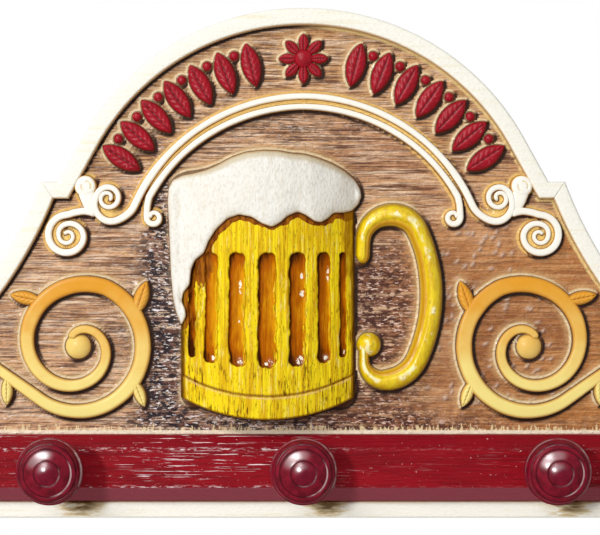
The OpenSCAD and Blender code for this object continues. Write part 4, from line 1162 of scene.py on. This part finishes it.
ROSETTE = 15.0
crown_at = LEAF_C + [0, RING]
petals = [laid(leaf(0.76 * ROSETTE, 0.42 * ROSETTE, 0.7 * ORNAMENT),
               crown_at + 0.24 * ROSETTE * toward(b), b) for b in range(0, 360, 45)]
surface("crest_rosette_petals", petals, leaf_red, ("crest_rosette",))
heart = button(crown_at, 0.42 * ROSETTE, ORNAMENT)
surface("crest_rosette_heart", [heart], leaf_red, wrap=True)
for b in range(0, 360, 45):
    leaf_ink(crown_at + 0.24 * ROSETTE * toward(b), b, 0.76 * ROSETTE, 0.42 * ROSETTE)

# %% [markdown]
# ## Gilded side scrolls
# On each side of the mug, three scrolls turn by turns and run out to the end of the board, with leaves at
# the joints. The stem swells in the middle of each scroll. The gilding is pale below and amber above, as
# if shaded with a second colour.

# %% Shaded gilding
gilding, tree, shader = finish("Shaded gilding", 0.34, specular=0.15, coat=0.1)
height = spot_of(tree)["Z"]
cloud = use(tree, streaks, Scale=(60, 60, 60))
wave = wavering(tree, height, cloud["Raw"], 0.05)
base = mix(tree, remap(tree, wave, -0.140, -0.058), srgb(248, 228, 138), srgb(230, 158, 40))
base = shift(tree, base, mask(tree, "edge"), 0.55, 0.9, (206, 142, 52), 0.7)
base = shift(tree, base, mask(tree, "edge"), 0.9, 1.0, (92, 50, 18))
base = shift(tree, base, mask(tree, "vein"), 0.3, 1.0, (150, 84, 26), 0.7)
put(shader.inputs["Base Color"], base)
bump(tree, shader, cloud["Raw"], 0.0005)

# %% Three scrolls a side
SIDES, HOLD, WIND, SHARE = [-1, 1, -1], [190, 120, 100], [430, 400, 380], [1, 0.8, 0.65]
RADII = [38.99, 19.88, 12.87]
x0, z0 = 93.07, RAIL_TOP + 9
x1 = x0 + 2 * RADII[0]
centres = np.array([[x0 + 1.08 * RADII[0], z0 + RADII[0] + 4.5], [x1 + 1.9 * RADII[1], z0 + 1.2 * RADII[1]],
                    [x1 + 3.4 * RADII[1] + 1.3 * RADII[2], z0 + 1.15 * RADII[2]]])


def crossing(a, b):
    """Heading of the tangent that crosses from scroll a to scroll b, in degrees."""
    d = centres[b] - centres[a]
    return math.degrees(math.atan2(d[1], d[0]) + SIDES[a] * math.asin((RADII[a] + RADII[b]) / np.hypot(*d)))


def touching(i, heading):
    """Point where a line on that heading meets scroll i, and its angle there."""
    angle = heading - 90 * SIDES[i]
    return centres[i] + RADII[i] * toward(angle), angle


def scroll_line(i, start, heading):
    """From a start onto the rim, round it for a while, then evenly in towards the eye."""
    _, angle = touching(i, heading)
    turn = angle + SIDES[i] * HOLD[i]
    return np.concatenate([[start], arc(centres[i], RADII[i], angle, turn),
                           spiral(centres[i], RADII[i], 6 * SHARE[i], turn, turn + SIDES[i] * WIND[i])[1:]])


heading1, heading0 = crossing(2, 1), crossing(1, 0)
tail = np.array([HALF_BOARD - BORDER_W - 9, centres[2][1] - RADII[2]])
stems = [scroll_line(0, touching(1, heading0)[0], heading0),
         scroll_line(1, touching(2, heading1)[0], heading1),
         scroll_line(2, tail, 180)]
joint = (stems[0][0] + touching(0, heading0)[0]) / 2


def on_rim(i, turned, share=1.0):
    """Point of scroll i after the stem has turned so far round it, and the stem's heading there."""
    h = (heading0, heading1, 180)[i]
    a = math.radians(h - 90 * SIDES[i] + SIDES[i] * turned)
    return centres[i] + share * RADII[i] * np.array([math.cos(a), math.sin(a)]), h + SIDES[i] * turned


shoots = [(*on_rim(0, 154), 47, 21.8), (*on_rim(0, 254, 0.88), 50, 19.9), (*on_rim(0, 95), 128, 17.9),
          (joint, heading0, 55, 17.9), (*on_rim(1, 82.5), -45, 16), (*on_rim(2, 68.75), 50, 14),
          (*on_rim(2, 176, 0.86), 60, 12.9), (tail, 180, -70, 19.9)]
for side, sign in (("right", 1), ("left", -1)):
    parts = []
    for stem, share, centre in zip(stems, SHARE, centres):
        line = even(stem) * [sign, 1]
        t = np.linspace(0, 1, len(line))
        half = share * (3 - 0.6 * t + 2.4 * np.sin(np.pi * t))
        grid, masks = band(line, half, ORNAMENT - 0.1)
        parts.append((grid, {"edge": masks["edge"], "vein": 0 * masks["edge"]}))
        parts.append(button(centre * [sign, 1], 8 * share, ORNAMENT))
        if sign > 0:
            inked(line, half)
    surface(f"gilt_stems_{side}", parts, gilding, (f"{side}_side_scroll",), wrap=True)
    sprays = []
    for at, heading, turned, length in shoots:
        way = heading + turned if sign > 0 else 180 - heading - turned
        sprays.append(laid(leaf(length, 0.42 * length, ORNAMENT), at * [sign, 1], way))
        leaf_ink(at * [sign, 1], way, length, 0.42 * length)
    surface(f"gilt_leaves_{side}", sprays, gilding)

# %% [markdown]
# ## The tooled field
# The ground between the ornaments is cut back with a gouge, stained brown and lacquered, and pale glints
# along its tool marks are painted highlights. It is one grid over the front of the board. Its height is a sum
# of stretched random waves. Its masks say how near each point is to an ornament, to the border and to the
# dark places beside the mug: painted highlights lighten the sides of the ornaments that face the light,
# painted shadow darkens their far sides, and painted shade darkens the places beside the mug.
# Between the two arches and inside the curls the floor is raised and gilded, and on the right small
# comma-shaped cuts stand out one by one, each painted pale on one side and dark on the other as its
# highlight and shadow.

# %% Stained and lacquered field
field_wood, tree, shader = finish("Tooled and stained field", 0.42, specular=0.15, coat=0.12,
                                  coat_roughness=0.12)
spots = spot_of(tree)
spot, above = spots["X"], remap(tree, spots["Z"], -0.05, -0.01)
cloud = use(tree, streaks, Scale=(16, 30, 40), Low=0.35, High=0.68)
gouge = use(tree, streaks, Scale=(34, 300, 880), Low=0.46, High=0.62)
fine = use(tree, streaks, Scale=(56, 500, 1400), Low=0.50, High=0.60)
lively = sums(tree, "MAXIMUM", remap(tree, spot, 0.09, 0.03, 0.45, 1.0), above)
hammer = use(tree, streaks, Scale=(230, 400, 520))
painted_glint = use(tree, streaks, Scale=(320, 460, 880), Low=0.57, High=0.63)
stroke = use(tree, streaks, Scale=(620, 300, 150))
shade = wavering(tree, mask(tree, "shade"), cloud["Raw"], 0.6)
warm = remap(tree, wavering(tree, spot, cloud["Raw"], 0.30), -0.05, 0.15)
warm = times(tree, warm, remap(tree, above, 0.0, 1.0, 1.0, 0.3))
base = mix(tree, warm, srgb(236, 184, 138), srgb(203, 133, 70))
base = glaze(tree, base, mask(tree, "crest"), 0.55, (220, 166, 98))
base = glaze(tree, base, cloud["Mask"], 0.5, (148, 94, 64))
cold = remap(tree, spot, 0.035, -0.015)
# Painted shade: the mask "shade" darkens the field beside and under the mug, inside the handle, above the rail
# and under the crown of the arch, and strengthens the dark dents and pale glints below.
dim = mix(tree, cold, srgb(128, 74, 52), srgb(122, 80, 72))
base = mix(tree, remap(tree, shade, 0.1, 0.6, 0.0, 0.8), base, dim)
base = shift(tree, base, shade, 0.6, 1.0, (62, 44, 54), 0.7)
pale_wood = mix(tree, warm, srgb(252, 222, 192), srgb(236, 186, 132))
base = mix(tree, times(tree, gouge["Mask"], times(tree, lively, 0.9)), base, pale_wood)
furrow = use(tree, streaks, Scale=(24, 200, 620), Low=0.54, High=0.62)
base = mix(tree, times(tree, furrow["Mask"], times(tree, lively, 0.8)), base, srgb(98, 54, 36))
stain = use(tree, streaks, Scale=(22, 40, 34), Low=0.48, High=0.66)
calm = sums(tree, "SUBTRACT", 0.9, times(tree, lively, 0.7))
base = mix(tree, times(tree, stain["Mask"], calm), base, srgb(152, 88, 44))
base = mix(tree, times(tree, fine["Mask"], times(tree, lively, 0.72)), base, srgb(88, 48, 36))
# Painted shadow and highlight of the comma cuts: dark to the lower right of each, pale to the upper left.
base = glaze(tree, base, mask(tree, "cut"), 0.85, (112, 64, 44))
base = glaze(tree, base, mask(tree, "chip"), 0.85, (246, 216, 194))
dents = remap(tree, hammer["Raw"], 0.53, 0.45)
deepest = mix(tree, cold, srgb(74, 40, 32), srgb(32, 22, 32))
base = mix(tree, times(tree, dents, remap(tree, shade, 0.0, 0.7, 0.15, 0.95)), base, deepest)
# Painted highlights: pale glints in the tooled ground, strongest where the painted shade is.
bright = mix(tree, cold, srgb(236, 200, 182), srgb(246, 236, 234))
base = mix(tree, times(tree, painted_glint["Mask"], remap(tree, shade, 0.1, 0.6, 0.14, 0.95)), base, bright)
reach = wavering(tree, mask(tree, "near"), gouge["Raw"], 1.5)
# Painted light round the ornaments: pale highlights on the sides that face the light, and painted shadow on
# their far sides.
lit, lee = remap(tree, mask(tree, "facing"), -0.2, 0.4), remap(tree, mask(tree, "facing"), 0.1, -0.5)
lit = times(tree, lit, remap(tree, mask(tree, "shade"), 0.45, 0.85, 1.0, 0.1))
base = mix(tree, times(tree, remap(tree, reach, 6.0, 1.5, 0.0, 0.5), lit), base, srgb(222, 178, 122))
base = mix(tree, times(tree, remap(tree, reach, 2.2, 1.0, 0.0, 0.85), lit), base, srgb(246, 222, 178))
gilt = times(tree, remap(tree, reach, 2.2, 1.2), mask(tree, "gilt"))
gilt = times(tree, gilt, remap(tree, lee, 0.0, 0.5, 1.0, 0.0))
base = mix(tree, gilt, base, srgb(240, 196, 112))
base = mix(tree, times(tree, remap(tree, reach, 2.9, 1.4), lee), base, srgb(46, 25, 14))
base = mix(tree, mask(tree, "between"), base, srgb(252, 216, 130))
# Painted shade: a thin dark line at the foot of every ornament.
base = shift(tree, base, mask(tree, "near"), 0.5, 0.15, (96, 54, 22), 0.8)
# Painted light at the border's inner edge: a pale highlight on the right side, and painted shadow on the left.
edge = wavering(tree, mask(tree, "rim"), gouge["Raw"], 1.5)
right, left = remap(tree, spot, -0.01, 0.02), remap(tree, spot, 0.02, -0.01)
base = mix(tree, times(tree, remap(tree, edge, 2.4, 1.0, 0.0, 0.85), right), base, srgb(246, 218, 150))
base = mix(tree, times(tree, remap(tree, edge, 2.6, 1.4), left), base, srgb(48, 27, 14))
# A pale band painted along the lip above the rail: worn paint and a painted highlight.
low = wavering(tree, mask(tree, "low"), stroke["Raw"], -22.0)
base = shift(tree, base, low, 3.0, 1.8, (250, 226, 176), 0.85)
base = shift(tree, base, mask(tree, "low"), 2.4, 1.6, (254, 238, 212))
put(shader.inputs["Base Color"], base)
put(shader.inputs["Roughness"], remap(tree, gouge["Raw"], 0.3, 0.7, 0.34, 0.55))
bump(tree, shader, hammer["Raw"], 0.0022)

# %% The field's surface
UNDER, FLOOR, FIELD_LOW, CUTS = 5.0, 3.4, 44, 130
LIGHT = np.array([-0.75, 0.66])
edge_line = np.concatenate([crest_half(UNDER), side_half(UNDER)[1:-61]])
wide_end, fine_middle = np.linspace(186, 300, 46), np.linspace(-185, 185, 371)
columns = np.unique(np.round(np.r_[-wide_end[::-1], fine_middle, wide_end], 3))
heights = np.interp(np.abs(columns), edge_line[:, 0], edge_line[:, 1])
x, v = np.meshgrid(ringed(columns), ringed(np.linspace(0, 1, 205)), indexing="ij")
h = FIELD_LOW + (ringed(heights)[:, None] - FIELD_LOW) * v

discs = np.concatenate(ink)
points = np.column_stack([x.ravel(), h.ravel()])
nearby = np.concatenate([np.argmin(np.hypot(p[:, :1] - discs[:, 0], p[:, 1:] - discs[:, 1]) - discs[:, 2], 1)
                         for p in np.array_split(points, 200)])
offset = points - discs[nearby, :2]
reach = np.hypot(*offset.T)
near = (reach - discs[nearby, 2]).reshape(x.shape)
facing = (offset @ LIGHT / np.maximum(reach, 1e-6)).reshape(x.shape)
gilt = discs[nearby, 3].reshape(x.shape)
inside = [line[::2] for half in (crest_half(BORDER_W), side_half(BORDER_W)) for line in (half, flipped(half))]
rim = nearest(x, h, np.concatenate(inside))


def enclosed(centre, turns, wrap_at):
    """1 inside the outermost turn of a spiral, at the angle of each point, and 0 outside it."""
    dx, dh = np.abs(x) - centre[0], h - centre[1]
    angle = np.degrees(np.arctan2(dh, dx))
    angle = np.where(angle > wrap_at, angle - 360, np.where(angle < wrap_at - 360, angle + 360, angle))
    turns = np.array(sorted(turns))
    return (np.hypot(dx, dh) < np.interp(angle, turns[:, 0], turns[:, 1])) * 1.0, angle


round_arch = np.hypot(x, h - MOULD_C[1])
between = ((round_arch > 107.2) & (round_arch < 113.2)) * smoothstep((h - 192) / 8)
crest = (round_arch > 113.2) * smoothstep((h - 190) / 30)
in_curl, angle = enclosed(CURL_C, [t for t in outer_curl if t[0] < 198], 197)
between = np.maximum(between, in_curl * smoothstep((angle + 150) / 50))
in_volute, angle = enclosed(VOLUTE_C, [t for t in volute_turns if t[0] > -271], 92)
between = np.maximum(between, in_volute * smoothstep((88 - angle) / 30))
between = np.maximum(between, (np.hypot(np.abs(x) - EYE_C[0], h - EYE_C[1]) < 3.4) * 1.0)


def blot(cx, ch, sx, sh):
    """A soft patch of painted shade, a bell curve in x and in h."""
    return np.exp(-((x - cx) / sx) ** 2 - ((h - ch) / sh) ** 2)


# Painted shade: where the field is darkened beside and under the mug, inside the handle, above the rail and
# under the arch.
shade = np.clip(1.1 * blot(-84, 112, 15, 62) + 0.85 * blot(42, 126, 26, 44) + 0.62 * blot(12, 56, 125, 8)
                + 0.36 * blot(-8, 236, 86, 13) + 0.45 * blot(52, 76, 22, 12) + 0.65 * blot(-84, 196, 9, 26)
                + 0.25 * blot(-84, 110, 38, 70), 0, 1)
# Comma cuts: a raised chip painted pale as its highlight, with a dip to its lower right painted dark as its
# shadow.
chip, cut = np.zeros_like(x), np.zeros_like(x)
dice = np.random.default_rng(7)
for tx, th, lean in zip(dice.uniform(74, 150, CUTS), dice.uniform(66, 180, CUTS), dice.uniform(0.3, 1.3, CUTS)):
    for mark, dx, dh in ((chip, 0, 0), (cut, 0.9, -0.8)):
        ax, ah = x - tx - dx, h - th - dh
        a, b = ax * math.cos(lean) + ah * math.sin(lean), ah * math.cos(lean) - ax * math.sin(lean)
        np.maximum(mark, np.exp(-(a / 1.7) ** 2 - ((b - 0.12 * a ** 2) / 0.75) ** 2), out=mark)
rough = 0.35 + 0.65 * shade
out = (0.85 + 0.24 * grain(x, h, 11, 2.0, 41) + 0.4 * rough * grain(x, h, 3.4, 1.8, 42)
       + 0.26 * rough * grain(x, h, 1.8, 1.25, 43))
out = out + 0.6 * chip - 0.55 * cut + 0.9 * np.exp(-np.clip(near, 0, 9) / 0.9)
out = out + 1.6 * smoothstep((53.0 + 0.5 * grain(x, h, 3, 9, 44) - h) / 2.2)
out = np.maximum(out * (1 - between) + FLOOR * between, 0.08)
sink_rim(out)
masks = {"near": near, "facing": facing, "gilt": gilt, "between": between, "rim": rim, "crest": crest,
         "shade": shade, "low": h - RAIL_TOP, "chip": chip, "cut": cut}
surface("field_tooled", [(place(x, h, out), masks)], field_wood)

# %% [markdown]
# ## Board edges, back and hidden hardware
# The board, the screws and the hanger plates are exact already, so their solids stay and only get a finish.
# The board's back is bare wood, and its edges are painted like the border: the direction that a face
# points in tells one from the other.

# %% Bare back, painted edges and zinc
board_wood, tree, shader = finish("Bare board with painted edges", 0.55)
rings = use(tree, streaks, Scale=(6, 90, 130), Low=0.35, High=0.65)
pores = use(tree, streaks, Scale=(40, 500, 900), Low=0.56, High=0.7)
base = mix(tree, rings["Mask"], srgb(206, 172, 126), srgb(178, 138, 92))
base = glaze(tree, base, pores["Mask"], 0.5, (128, 92, 56))
facing = add(tree, "SeparateXYZ", Vector=add(tree, "NewGeometry").outputs["True Normal"]).outputs["Y"]
paint = mix(tree, times(tree, pores["Mask"], 0.3), srgb(246, 241, 222), srgb(214, 196, 160))
put(shader.inputs["Base Color"], mix(tree, remap(tree, facing, 0.6, 0.5), base, paint))
bump(tree, shader, pores["Raw"], 0.0004)

zinc, tree, shader = finish("Zinc plated steel", 0.36)
put(shader.inputs["Metallic"], 1.0)
scuff = use(tree, streaks, Scale=(900, 900, 260))
put(shader.inputs["Base Color"], use(tree, drift, Color=srgb(196, 196, 190), Size=300.0, Amount=0.3)["Color"])
put(shader.inputs["Roughness"], remap(tree, scuff["Raw"], 0.3, 0.7, 0.26, 0.5))

hardware = ("peg_screws", "peg_washers", "rail_screws", "left_hanger_plate", "right_hanger_plate",
            "hanger_screws")
for name, material in [("back_board", board_wood)] + [(n, zinc) for n in hardware]:
    nodes[name].data.materials.clear()
    nodes[name].data.materials.append(material)
print("solids left in view:", [n for n, o in nodes.items() if not o.hide_render])

# %% [markdown]
# ## Light, floor and camera
# The photograph has a white ground and light from above on the left. A small lamp on the left casts the
# crisp shadows, and a long box above it gives the broad highlights of the pegs. An even world fills the
# shadows. Rays from the camera and mirrored rays see plain white.

# %% Stage
scene = bpy.context.scene
scene.view_settings.view_transform = "Standard"
world = bpy.data.worlds.new("White studio")
scene.world = world
world.use_nodes = True
tree = world.node_tree
rays = add(tree, "LightPath").outputs
mirrored = sums(tree, "MAXIMUM", rays["Is Glossy Ray"], rays["Is Transmission Ray"])
seen = sums(tree, "MAXIMUM", rays["Is Camera Ray"], mirrored)
sky = tree.nodes["Background"]
put(sky.inputs["Color"], (1, 1, 1, 1))
put(sky.inputs["Strength"], remap(tree, seen, 0.0, 1.0, 0.22, 1.0))

for name, wide, deep, watts, spot in (("Key from the left", 0.36, 0.36, 57.0, (-1.45, -3.24, 0.69)),
                                      ("Box from above", 1.76, 0.64, 35.0, (-1.25, -1.79, 1.72))):
    lamp = bpy.data.lights.new(name, "AREA")
    lamp.shape, lamp.size, lamp.size_y, lamp.energy = "RECTANGLE", wide, deep, watts
    key = bpy.data.objects.new(name, lamp)
    scene.collection.objects.link(key)
    key.location = spot
    aim = np.array([0, 0, -0.06]) - np.array(spot)
    down, round_z = math.atan2(math.hypot(aim[0], aim[1]), -aim[2]), math.atan2(aim[1], aim[0])
    key.rotation_euler = (down, 0, round_z - math.pi / 2)

pale, tree, shader = finish("Pale floor", 0.7)
put(shader.inputs["Base Color"], use(tree, drift, Color=srgb(238, 237, 234), Size=3.0, Amount=0.03)["Color"])
gx, gy = np.meshgrid(np.linspace(-1.2, 1.2, 13), np.linspace(-1.1, 0.55, 9), indexing="ij")
ground = bpy.data.meshes.new("floor")
FLOOR_Z = -0.36
corners = np.stack([gx, gy, 0 * gx + FLOOR_Z], -1).reshape(-1, 3).tolist()
ground.from_pydata(corners, [], quads_of(13, 9, False, 0))
ground.materials.append(pale)
floor = bpy.data.objects.new("floor", ground)
scene.collection.objects.link(floor)
floor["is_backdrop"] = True

# %% Camera
view = bpy.data.cameras.new("Front view")
view.sensor_width, view.lens = 36.0, 90.0
camera = bpy.data.objects.new("Front view", view)
scene.collection.objects.link(camera)
camera.location = (-0.0021, -0.920, -0.0553)
camera.rotation_euler = (math.pi / 2, 0, 0)
scene.camera = camera

# %% The visual box
low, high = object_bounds()
print("visual box", [round(1000 * (b - a), 1) for a, b in zip(low, high)], "mm")
